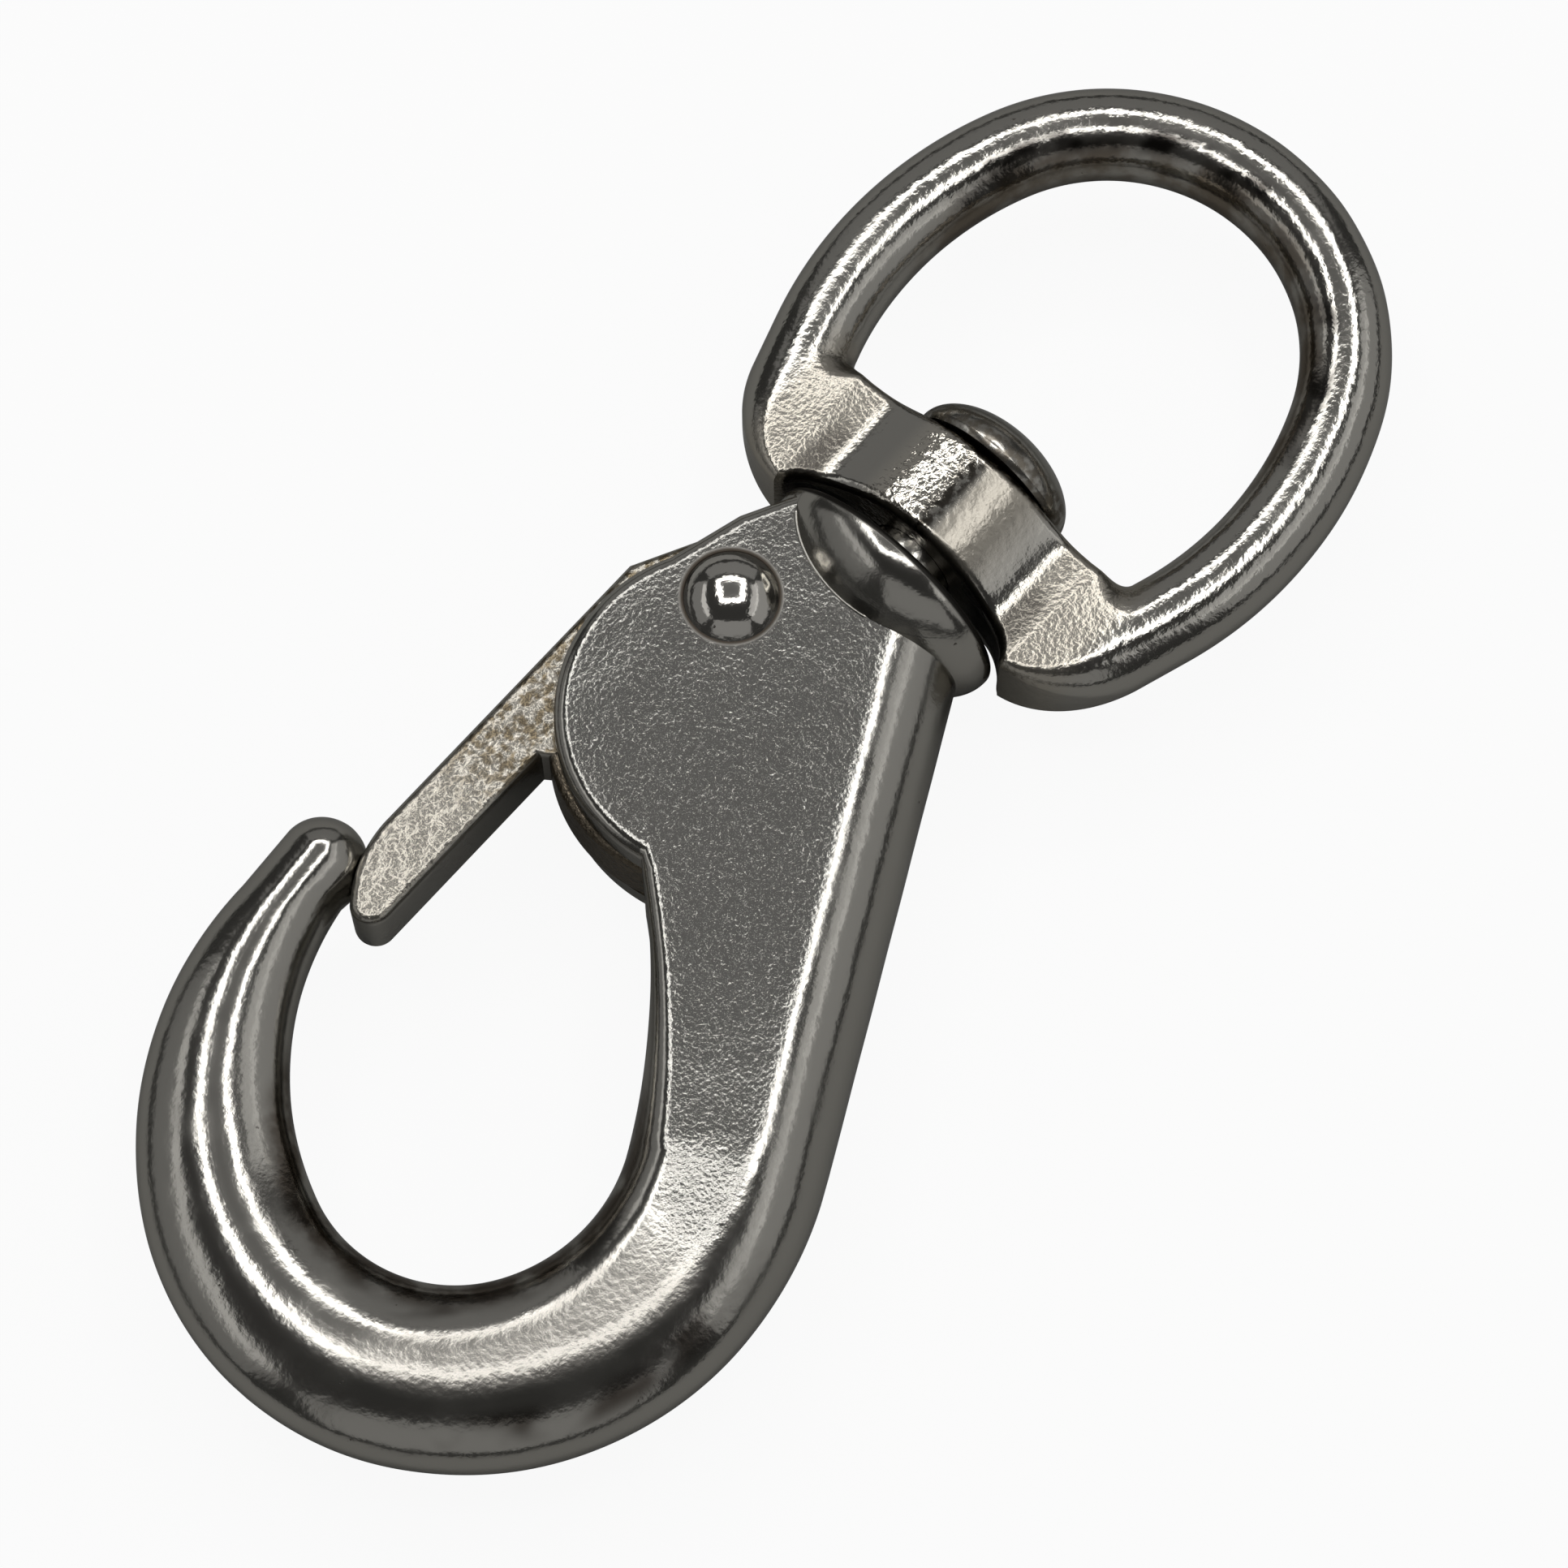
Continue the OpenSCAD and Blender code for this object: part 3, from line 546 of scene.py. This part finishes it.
def make_spring():
    """Wire along a straight leg, a coil of even pitch, a quarter bend and an upright tang."""
    x = np.linspace(-4.6, -0.3, 12)
    leg = np.c_[x, np.full(12, SPRING_R), np.full(12, COIL_LOW)]
    turn = np.linspace(90, COIL_END, 240)
    rise = np.minimum(COIL_LOW + (90 - turn) / 360 * COIL_PITCH, COIL_TOP)
    coil = np.c_[SPRING_R * heading(turn), rise]
    bend = np.linspace(0, 90, 10)[1:]
    s, c = np.sin(np.radians(bend)), np.cos(np.radians(bend))
    up = np.c_[SPRING_R * heading(COIL_END - 14 * s), COIL_TOP + 0.6 * (1 - c)]
    tang = np.c_[np.repeat(SPRING_R * heading(COIL_END - 14)[None], 6, 0),
                 np.linspace(COIL_TOP + 0.9, TANG_TOP - 0.1, 6)]
    path = np.concatenate([leg, coil, up, tang])
    away = np.concatenate([np.tile([0, 1, 0], (12, 1)),
                           np.c_[heading(turn), np.zeros(240)],
                           np.c_[heading(COIL_END - 14 * s), np.zeros(9)],
                           np.tile(np.r_[heading(COIL_END - 14), 0], (6, 1))])
    return tube("spring", path + [CHEEK_X + RIVET[0], RIVET[1], 0], away, SPRING_WIRE)


PIN_R, TAIL_R, HEAD_R, HEAD_H = 3.0, 2.2, 5.95, 3.6


def make_pin():
    """Head with a short straight rim, shank, and a tail that is closed over in the slot."""
    base, rim, tail = BRIDGE_IN + FIT, 0.35, CHEEK_X + SLOT_END
    t = np.radians(np.linspace(0, 90, 40))
    dome = np.c_[base + rim + (HEAD_H - rim) * np.sin(t), HEAD_R * np.cos(t)]
    dome[-1, 1] = 0
    shank = [[tail - 1.1, 0], [tail - 1.1, 2.1], [tail - 0.4, 2.6], [tail, 2.6], [tail, TAIL_R],
             [COLLAR_FACE, TAIL_R], [COLLAR_FACE, PIN_R], [base, PIN_R], [base, HEAD_R - 0.2]]
    return turned("pin", np.concatenate([shank, dome]), "X")


# ---- eye ----
EYE_WIRE, CROWN_R, FLANK_R, CORNER_R, FOOT_R = 6.05, 12.4, 23, 1.8, 8.6
BOSS_H, WAIST_H, FOOT_H = 5.4, 3.2, 3.3
CROWN_TURN, FLANK_TURN = 66.9, 41
FLANK_HEADING = 90 + CROWN_TURN + FLANK_TURN
FOOT_DROP, FOOT_WALL, WAIST_Y = 2.9, COLLAR_R + 0.55, 8
ARCH_IN = 0.45


def bridge_half(y):
    """Half height of the bridge: a skewed cosine from the boss to the waist, then rising to the
    feet."""
    y = np.abs(y)
    dip = (1 + np.cos(np.pi * np.clip(y / WAIST_Y, 0, 1) ** 1.4)) / 2
    return np.where(y < WAIST_Y, blend(WAIST_H, BOSS_H, dip),
                    blend(WAIST_H, FOOT_H, smooth_step(0, 2.2, y - WAIST_Y)))


# Outer face of the bridge: hollowed over the collar, and sweeping down to the toe of each foot
bridge_face = smooth_table([0, 2, 4, 5.5, 7, 8, 8.6, 9, 9.4, 9.7],
                           [-32, -32.05, -32.2, -32.42, -32.8, -33.25, -33.66, -34.03, -34.55,
                            -34.8])


def eye_sections():
    """Sections round the whole eye: crown, flank, corner, foot and bridge on one side, and their
    mirror image on the other. The bar is round, and its edges sharpen into the bridge's."""
    flank_c = polar([-CROWN_R, 0], CROWN_R - FLANK_R, CROWN_TURN)

    def flank(q, t):
        """Points at shares t along the flank, at a distance q outside its inner edge."""
        return polar(flank_c, np.full(len(t), FLANK_R + q), CROWN_TURN + FLANK_TURN * t)

    def corner(q, r, end_x, t, stop=None):
        """Arc of radius r between the flank's end and an upright line at end_x, or only as far as a
        height above the axis, and its centre; both touch it."""
        p = flank(q, np.array([1.0]))[0]
        run = (p[0] + r * leftward(FLANK_HEADING)[0] - r - end_x) / -heading(FLANK_HEADING)[0]
        c = p + run * heading(FLANK_HEADING) + r * leftward(FLANK_HEADING)
        end = 180 if stop is None else 180 - np.degrees(np.arcsin(max(0, stop - c[1]) / r))
        return polar(c, np.full(len(t), r), blend(FLANK_HEADING - 90, end, t)), c

    foot_x = BRIDGE_OUT - FOOT_DROP
    outs, ins, halves, flats = [], [], [], []

    def add(a, b, h, k):
        """Edges a and b, half thickness h, and k from 0 for round bar to 1 for the bridge."""
        outs.append(a), ins.append(b), halves.append(h), flats.append(k)

    # crown
    t = np.linspace(0, 1, 80)
    add(polar([-CROWN_R, 0], np.full(80, CROWN_R + EYE_WIRE), CROWN_TURN * t),
        polar([-CROWN_R, 0], np.full(80, CROWN_R), CROWN_TURN * t),
        np.full(80, EYE_WIRE / 2), 0 * t)
    # flank
    t = np.linspace(0, 1, 51)[1:]
    add(flank(EYE_WIRE, t), flank(0, t), np.full(50, EYE_WIRE / 2), 0 * t)
    # corner and foot
    t = np.linspace(0, 1, 37)[1:]
    out_pts, _ = corner(EYE_WIRE, FOOT_R, foot_x, t, FOOT_WALL + 0.25)
    in_pts, in_c = corner(0, CORNER_R, BRIDGE_IN - ARCH_IN, t)
    add(out_pts, in_pts, blend(EYE_WIRE / 2, FOOT_H, t), smooth_step(0, 1, t))
    # toe of the foot, where the outer edge turns back to the bridge
    y = in_c[1] - 0.1 * np.arange(1, 9)
    wall = np.array([9.62, 9.5, 9.4, 9.3, 9.18, 9.04, 8.86, 8.66])
    add(np.c_[bridge_face(wall), wall], np.c_[np.full(8, BRIDGE_IN - ARCH_IN), y],
        bridge_half(wall), np.ones(8))
    # bridge
    y = np.linspace(8.45, 0, 68)
    add(np.c_[bridge_face(y), y], np.c_[BRIDGE_IN - ARCH_IN * (y / COLLAR_R) ** 2, y],
        bridge_half(y), np.ones(68))
    a, b = np.concatenate(outs), np.concatenate(ins)
    half, k = np.concatenate(halves), np.concatenate(flats)
    w = np.linalg.norm(b - a, axis=1)
    u = (b - a) / w[:, None]
    side = blend((w - 0.2) / 2, 0.8, k)
    rise = blend(half - LAND, 0.8, k)
    rings = stations(a, a + side[:, None] * u, b - side[:, None] * u, b, half, rise, rise,
                     around=14, across=8)
    return np.concatenate([rings, rings[-2:0:-1] * [1, -1, 1]])


def make_eye():
    """The ring and bridge with the swivel's hole."""
    eye = skin("eye", wavy(eye_sections(), size=0.05, length=8, seed=5), loop=True)
    bore = turned("bore", [[BRIDGE_OUT - 2, 0], [BRIDGE_OUT - 2, PIN_R + CLEAR],
                           [BRIDGE_IN + 2, PIN_R + CLEAR], [BRIDGE_IN + 2, 0]], "X", steps=96)
    cut(eye, bore)
    return eye


# ---- finishes ----
def wire_up(tree, kind, inputs=(), **settings):
    """Adds a node, sets it up and joins or sets its inputs, given as socket and value."""
    step = tree.nodes.new(kind)
    for key, value in settings.items():
        setattr(step, key, value)
    for socket, value in dict(inputs).items():
        if isinstance(value, bpy.types.NodeSocket):
            tree.links.new(value, step.inputs[socket])
        else:
            step.inputs[socket].default_value = value
    return step


class Finish:
    """A metal whose colour, roughness and grain are mixed over the surface by masks. Places are
    object coordinates, and lengths are given in millimetres."""

    def __init__(self, name, colour, rough):
        self.made = bpy.data.materials.new(name)
        self.made.use_nodes = True
        self.tree = self.made.node_tree
        self.shader = self.tree.nodes["Principled BSDF"]
        self.shader.inputs["Metallic"].default_value = 1
        self.shader.inputs["Specular Tint"].default_value = (0.6, 0.6, 0.6, 1)
        self.place = wire_up(self.tree, "ShaderNodeTexCoord").outputs["Object"]
        axes = wire_up(self.tree, "ShaderNodeSeparateXYZ", {"Vector": self.place})
        self.x, self.y, self.z = (axes.outputs[i] for i in range(3))
        self.colour = (*colour, 1)
        self.rough = rough
        self.normal = None

    def math(self, kind, a, b=0.0):
        return wire_up(self.tree, "ShaderNodeMath", {0: a, 1: b}, operation=kind).outputs[0]

    def noise(self, size, detail=2.0, seed=0.0):
        """Noise of the given grain size; the seed moves it elsewhere."""
        place = self.place
        if seed:
            place = wire_up(self.tree, "ShaderNodeVectorMath", {0: place, 1: (seed, seed / 2, 0)},
                            operation="ADD").outputs[0]
        return wire_up(self.tree, "ShaderNodeTexNoise",
                       {"Vector": place, "Scale": 1 / (size * MM), "Detail": detail}).outputs["Fac"]

    def along(self, start, h):
        """Distance, in metres, from a place along a heading."""
        way = heading(h)
        step = wire_up(self.tree, "ShaderNodeVectorMath", {0: self.place, 1: (*way, 0)},
                       operation="DOT_PRODUCT").outputs["Value"]
        return self.math("SUBTRACT", step, float(np.dot(start, way)) * MM)

    def line(self, value, place, level, slope):
        """Straight line over a length, with its level at one place."""
        return self.math("ADD", self.math("MULTIPLY", value, slope), (level - slope * place) * MM)

    def band(self, value, low, high):
        """S curve from 0 to 1 as the value goes from low to high."""
        return wire_up(self.tree, "ShaderNodeMapRange",
                       {"Value": value, "From Min": low, "From Max": high},
                       interpolation_type="SMOOTHSTEP").outputs["Result"]

    def zone(self, length, low, high):
        """The same S curve over a length, with both ends in millimetres."""
        return self.band(length, low * MM, high * MM)

    def far(self, x, y, axes="xy"):
        """Distance, in metres, from a line at x, y along the axis left out."""
        a, b = (getattr(self, axis) for axis in axes)
        a, b = self.math("SUBTRACT", a, x * MM), self.math("SUBTRACT", b, y * MM)
        squares = self.math("ADD", self.math("MULTIPLY", a, a), self.math("MULTIPLY", b, b))
        return self.math("SQRT", squares)

    def both(self, *masks):
        """The masks multiplied together."""
        out = masks[0]
        for mask in masks[1:]:
            out = self.math("MULTIPLY", out, mask)
        return out

    def tint(self, mask, colour):
        """Colour laid over what is there, by the mask."""
        self.colour = wire_up(self.tree, "ShaderNodeMix",
                              {0: mask, 6: self.colour, 7: (*colour, 1)},
                              data_type="RGBA").outputs[2]

    def roughen(self, mask, rough):
        """Roughness laid over what is there, by the mask."""
        self.rough = wire_up(self.tree, "ShaderNodeMix",
                             {0: mask, 2: self.rough, 3: rough}).outputs[0]

    def emboss(self, height, depth, strength=1.0):
        """Bumps of the given height field; depth is that of its whole range."""
        inputs = {"Height": height, "Distance": depth * MM, "Strength": strength}
        if self.normal:
            inputs["Normal"] = self.normal
        self.normal = wire_up(self.tree, "ShaderNodeBump", inputs).outputs["Normal"]

    def done(self):
        """Joins the mixes to the shader, and returns the material."""
        for socket, value in (("Base Color", self.colour), ("Roughness", self.rough),
                              ("Normal", self.normal)):
            if isinstance(value, bpy.types.NodeSocket):
                self.tree.links.new(value, self.shader.inputs[socket])
            elif value is not None:
                self.shader.inputs[socket].default_value = value
        return self.made


NICKEL = (0.43, 0.415, 0.38)
# near-black brown: painted contact shadow round the rivet's head, and grime under the pin's head
GRIME_AND_SHADOW = (0.06, 0.05, 0.04)
# near black: painted shade in the gap between the collar and the bridge
GAP_SHADE = (0.03, 0.028, 0.025)


def plate(name, rough=0.15, colour=NICKEL, peel=0.018):
    """Bright plate over a casting: cloudy roughness, a slow ripple, fine peel and a few pits."""
    f = Finish(name, colour, rough)
    f.roughen(f.band(f.noise(4.5, 2), 0.45, 0.7), rough * 1.35)
    f.emboss(f.noise(3.2, 1), 0.065)
    f.emboss(f.noise(0.5, 3, 0.3), peel)
    pits = f.band(f.noise(1.1, 4, 0.7), 0.735, 0.76)
    f.tint(pits, (0.12, 0.11, 0.095))
    f.roughen(pits, 0.5)
    return f


def cast_nickel():
    """The hook: bright on its round parts, sand grained on the flat of cheeks and shank, worn under
    the bow, with painted shade inside the bow and in the gap by the bridge, a painted dark
    reflection beside the worn band, and a painted contact shadow round the rivet."""
    f = plate("cast_nickel")
    height = f.math("ABSOLUTE", f.z)
    # depth below the crest of the shank and the bow, whose height falls along the spine
    s = f.along(SPINE_TOP + [CHEEK_X, 0], SPINE_HEADING)
    crest = f.math("MINIMUM", f.line(s, 34, 5.42, -0.012), f.line(s, 37.8, 5.22, -0.09))
    crest = f.math("MAXIMUM", crest, f.line(s, 46.4, 4.56, -0.04))
    under = f.math("SUBTRACT", height, f.math("MINIMUM", crest, BODY_H * MM))
    flat = f.both(f.zone(under, -0.08, -0.02), f.zone(under, 0.06, 0.03), f.zone(s, 46, 40.5))
    f.roughen(flat, 0.17)
    f.tint(flat, (0.31, 0.302, 0.28))
    f.emboss(f.noise(0.27, 3, 0.5), 0.033, flat)
    # bright worn band along the bottom of the bow
    worn = f.both(f.zone(under, -0.4, -0.12), f.zone(s, 41, 46), f.zone(f.y, -6, -12))
    f.roughen(worn, 0.26)
    f.tint(worn, (0.39, 0.372, 0.338))
    f.emboss(f.noise(0.5, 3, 0.8), 0.026, worn)
    # painted shade in a brown tone inside the bow, and a painted dark reflection beside the worn
    # band
    inside = f.both(f.zone(f.far(CHEEK_X + BOW_C[0], BOW_C[1]), 12.6, 11.2),
                    f.band(f.noise(2.5, 4, 0.6), 0.3, 0.6))
    f.tint(inside, (0.13, 0.11, 0.09))
    shade = f.both(f.zone(under, -0.45, -0.9), f.zone(under, -2.2, -1.3),
                   f.band(f.noise(5, 2, 0.35), 0.4, 0.65), f.zone(s, 40, 46),
                   f.zone(f.y, -5, -8))
    f.tint(shade, (0.12, 0.105, 0.09))
    # painted shade for the gap under the bridge, near black on the collar's rim and face
    gap = f.both(f.zone(f.x, COLLAR_FACE - 0.6, COLLAR_FACE - 0.4), f.zone(height, 0.5, 3))
    f.tint(gap, GAP_SHADE)
    f.roughen(gap, 0.4)
    # a painted contact shadow in a ring where the rivet's head sits on the cheek
    ring = f.far(CHEEK_X + RIVET[0], RIVET[1])
    rivet_shadow = f.both(flat, f.zone(ring, RIVET_HEAD_R + 0.4, RIVET_HEAD_R + 0.05))
    f.tint(rivet_shadow, GRIME_AND_SHADOW)
    f.roughen(rivet_shadow, 0.5)
    return f.done()


def gate_nickel():
    """The gate: a warm hammered face, smooth walls, and a rough brown-black edge in the cheeks."""
    f = plate("gate_nickel", 0.22)
    height = f.math("ABSOLUTE", f.z)
    face = f.zone(height, GATE_H - 0.25, GATE_H - 0.12)
    f.tint(face, (0.365, 0.343, 0.3))
    f.roughen(face, 0.25)
    f.emboss(f.noise(0.4, 3, 0.4), 0.07, face)
    # brown stain on the face, growing towards the cheeks
    stain = f.both(face, f.zone(f.x, CHEEK_X - 17, CHEEK_X - 11),
                   f.band(f.noise(0.7, 3, 0.15), 0.42, 0.6))
    f.tint(stain, (0.165, 0.135, 0.09))
    hidden = f.both(f.zone(f.far(CHEEK_X + CHEEK_C[0], CHEEK_C[1]), 12.3, 11.9),
                    f.zone(f.y, 8.1, 7.4), f.zone(f.x, CHEEK_X - 8, CHEEK_X - 9))
    f.tint(hidden, (0.19, 0.16, 0.12))
    f.roughen(hidden, 0.25)
    f.emboss(f.noise(0.5, 3, 0.2), 0.26, hidden)
    return f.done()


def eye_nickel():
    """The eye: bright bar, grained feet, a crinkled boss with a painted highlight on one slope and
    painted shade on the other, painted shade and painted dark reflections on the inner side of the
    bar, painted shade where the feet meet it and in the gap over the collar, and grime under the
    pin's head.
    """
    f = plate("eye_nickel", 0.13, peel=0.03)
    # painted shade in a brown tone, and painted dark reflections in darker patches, on the inner
    # side of the bar
    ring = f.far(-CROWN_R, 0)
    inner_shade = f.both(f.zone(ring, CROWN_R + 2.2, CROWN_R + 0.6),
                  f.band(f.noise(3, 4, 0.5), 0.3, 0.6))
    f.tint(inner_shade, (0.2, 0.17, 0.135))
    patches = f.both(f.zone(ring, CROWN_R + 2.7, CROWN_R + 2.0),
                     f.zone(ring, CROWN_R + 0.5, CROWN_R + 1.3),
                     f.band(f.noise(5, 3, 0.25), 0.48, 0.62), f.zone(f.x, -14, -8))
    f.tint(patches, (0.05, 0.045, 0.04))
    side = f.math("ABSOLUTE", f.y)
    bridge = f.both(f.zone(f.x, -22.8, -24.6), f.zone(side, 14.5, 12.5))
    feet = f.both(bridge, f.zone(side, 6.6, 8.2))
    f.roughen(feet, 0.24)
    f.tint(feet, (0.42, 0.392, 0.34))
    f.emboss(f.noise(0.3, 2, 0.5), 0.04, feet)
    # painted shade: a darker strip where each foot meets the bar
    strip = f.both(f.zone(side, 7.4, 8.2), f.zone(side, 9.8, 9.0), f.zone(f.x, -28, -30.5))
    f.tint(strip, (0.2, 0.185, 0.16))
    # the boss: a painted highlight on the crinkled slope on one side of a ridge with a painted dark
    # reflection, and painted shade on the duller slope on the other
    slope = f.both(bridge, f.zone(f.y, -0.6, 0.6), f.zone(f.y, 5.2, 3.6))
    f.tint(slope, (0.55, 0.52, 0.46))
    f.emboss(f.noise(0.6, 3, 0.6), 0.1, slope)
    ridge = f.both(bridge, f.zone(f.y, -1.1, -0.3), f.zone(f.y, 0.9, 0.1),
                   f.band(f.noise(0.6, 4, 0.2), 0.4, 0.55))
    f.tint(ridge, (0.1, 0.09, 0.075))
    shaded_slope = f.both(bridge, f.zone(f.y, -0.4, -1.2), f.zone(f.y, -6.5, -3.5))
    f.tint(shaded_slope, (0.35, 0.325, 0.28))
    f.roughen(shaded_slope, 0.3)
    f.emboss(f.noise(1.2, 3, 0.1), 0.06, shaded_slope)
    under = f.both(f.zone(f.far(0, 0, "yz"), 7, 6), f.zone(f.x, -25.9, -25.3),
                   f.zone(f.x, -24.2, -24.7), f.band(f.noise(0.6, 4), 0.35, 0.6))
    f.tint(under, GRIME_AND_SHADOW)
    # painted shade for the gap over the collar, near black on the bridge's outer face
    edge = f.both(bridge, f.zone(side, 9.3, 8.6), f.zone(f.x, -32.1, -32.5),
                  f.zone(f.math("ABSOLUTE", f.z), 2.2, 1.6))
    f.tint(edge, GAP_SHADE)
    f.roughen(edge, 0.4)
    return f.done()


def pin_steel():
    """The swivel pin: a bright head with a brown, duller rim."""
    f = plate("pin_steel", 0.14)
    rim = f.both(f.zone(f.far(0, 0, "yz"), 5.2, 5.8), f.band(f.noise(0.7, 3), 0.35, 0.6))
    f.tint(rim, (0.2, 0.18, 0.15))
    f.roughen(rim, 0.3)
    return f.done()


def dress(thing, body, node, finish):
    """Gives a piece its finish, says what it rides on, and hides the frame's node that it stands
    for.
    """
    thing.data.materials.clear()
    thing.data.materials.append(finish)
    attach(thing, body)
    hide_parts(node)


# ---- put together ----
casting = cast_nickel()
dress(make_body(), "hook", "hook_body", casting)
for side in (1, -1):
    dress(make_bead(side), "hook", "hook_body", casting)
dress(make_gate(), "gate", "gate", gate_nickel())
dress(make_rivet(), "hook", "gate_rivet", plate("rivet_nickel", 0.09, (0.56, 0.54, 0.5)).done())
dress(make_spring(), "hook", "gate_spring", plate("spring_steel", 0.25).done())
dress(make_eye(), "eye", "swivel_eye", eye_nickel())
dress(make_pin(), "hook", "swivel_pin", pin_steel())


# ---- floor, light and camera ----
def make_floor():
    """Round pale floor just under the hook: nearly white to the camera, a darker table in the
    metal."""
    low = cad_box[0][2]
    bpy.ops.mesh.primitive_circle_add(vertices=64, radius=1.5, fill_type="NGON",
                                      location=(-0.05, 0, low - 0.0002))
    floor = bpy.context.object
    floor.name = "floor"
    finish = bpy.data.materials.new("pale_floor")
    finish.use_nodes = True
    tree = finish.node_tree
    shader = tree.nodes["Principled BSDF"]
    shader.inputs["Base Color"].default_value = (0.8, 0.8, 0.8, 1)
    shader.inputs["Roughness"].default_value = 0.9
    shader.inputs["Specular IOR Level"].default_value = 0.1
    rays = wire_up(tree, "ShaderNodeLightPath")
    white = wire_up(tree, "ShaderNodeEmission", {"Color": (1, 1, 1, 1), "Strength": 1})
    dull = wire_up(tree, "ShaderNodeBsdfDiffuse", {"Color": (0.42, 0.42, 0.41, 1)})
    share = wire_up(tree, "ShaderNodeMapRange",
                    {"Value": rays.outputs["Is Camera Ray"], "To Max": 0.93})
    lit = wire_up(tree, "ShaderNodeMixShader",
                  {0: share.outputs["Result"], 1: shader.outputs[0], 2: white.outputs[0]})
    last = wire_up(tree, "ShaderNodeMixShader",
                   {0: rays.outputs["Is Glossy Ray"], 1: lit.outputs[0], 2: dull.outputs[0]})
    tree.links.new(last.outputs[0], tree.nodes["Material Output"].inputs["Surface"])
    floor.data.materials.append(finish)


CENTRE = Vector((-0.0491, -0.004, 0))
FRAME_TURN, FRAME_RISE = 43, 73


def flat_heading(h):
    """Unit vector along the floor at h degrees, counted left from +X."""
    return Vector((cos(radians(h)), sin(radians(h)), 0))


def sky(turn, rise, distance):
    """Point seen from the object at a compass turn and a height angle."""
    rise = radians(rise)
    way = cos(rise) * flat_heading(turn) + sin(rise) * Vector((0, 0, 1))
    return CENTRE + distance * way


def soft_lamp(name, width, height, level):
    """Rectangular lamp whose surface has the given radiance."""
    lamp = bpy.data.lights.new(name, "AREA")
    lamp.shape, lamp.size, lamp.size_y = "RECTANGLE", width, height
    lamp.energy = level * np.pi * width * height
    thing = bpy.data.objects.new(name, lamp)
    bpy.context.scene.collection.objects.link(thing)
    return thing


def panel(name, place, width, height, level):
    """Soft lamp at a place, facing the object."""
    thing = soft_lamp(name, width, height, level)
    thing.location = place
    thing.rotation_euler = (CENTRE - place).to_track_quat("-Z", "Y").to_euler()


def make_lights():
    """A bright square frame overhead, which draws the lines along the bars, low grey walls with
    dark corners between them, two strips above the walls, and a dim world."""
    world = bpy.data.worlds.new("studio")
    bpy.context.scene.world = world
    world.use_nodes = True
    glow = world.node_tree.nodes["Background"]
    glow.inputs["Color"].default_value = (0.045, 0.045, 0.044, 1)
    glow.inputs["Strength"].default_value = 1
    # the frame leans towards the eye and the gate side, and its inside is dim
    middle = sky(FRAME_TURN, FRAME_RISE, 0.6)
    axis = (middle - CENTRE).normalized()
    e1 = (flat_heading(45) - flat_heading(45).dot(axis) * axis).normalized()
    e2 = axis.cross(e1)
    out_by, bar, long_bar, short_bar = 0.205, 0.095, 0.505, 0.315
    for name, s, t in (("frame_a", 1, 0), ("frame_b", -1, 0),
                       ("frame_c", 0, 1), ("frame_d", 0, -1)):
        thing = soft_lamp(name, bar, long_bar if s else short_bar, 4.6)
        spot = middle + out_by * (s * e1 + t * e2)
        long_way = e2 if s else e1
        wide = long_way.cross(axis)
        turn = Matrix((wide, long_way, wide.cross(long_way))).transposed()
        thing.matrix_world = Matrix.Translation(spot) @ turn.to_4x4()
    panel("frame_middle", sky(FRAME_TURN, FRAME_RISE, 0.62), 0.3, 0.3, 0.12)
    for name, turn, level in (("wall_near", 222, 0.27), ("wall_left", 132, 0.2),
                              ("wall_far", 42, 0.2), ("wall_right", -48, 0.33)):
        panel(name, sky(turn, 25, 0.8), 1.15, 0.5, level)
    panel("strip_left", sky(132, 37, 0.79), 0.9, 0.14, 0.55)
    panel("strip_right", sky(-48, 46, 0.79), 0.9, 0.24, 0.6)


def make_camera():
    """Camera above the hook, leaning from the far side of the gate, with the eye at upper right."""
    rise, turn, roll = radians(71.474), radians(222.455), radians(46.793)
    distance = 0.3828
    d = np.array([np.cos(rise) * np.cos(turn), np.cos(rise) * np.sin(turn), np.sin(rise)])
    px = np.array([1.0, 0, 0]) - d * d[0]
    px /= np.linalg.norm(px)
    py = np.cross(d, px)
    right = np.cos(roll) * px - np.sin(roll) * py
    up = np.sin(roll) * px + np.cos(roll) * py
    target = np.array([-49.205, -4.008, 0]) * MM
    camera = bpy.data.cameras.new("camera")
    camera.lens, camera.sensor_width = 136.96, 36
    camera.clip_start = 0.01
    thing = bpy.data.objects.new("camera", camera)
    bpy.context.scene.collection.objects.link(thing)
    thing.matrix_world = (Matrix.Translation(Vector(target + d * distance))
                          @ Matrix((right, up, d)).transposed().to_4x4())
    bpy.context.scene.camera = thing


make_floor()
make_lights()
make_camera()
bpy.context.scene.view_settings.view_transform = "Standard"
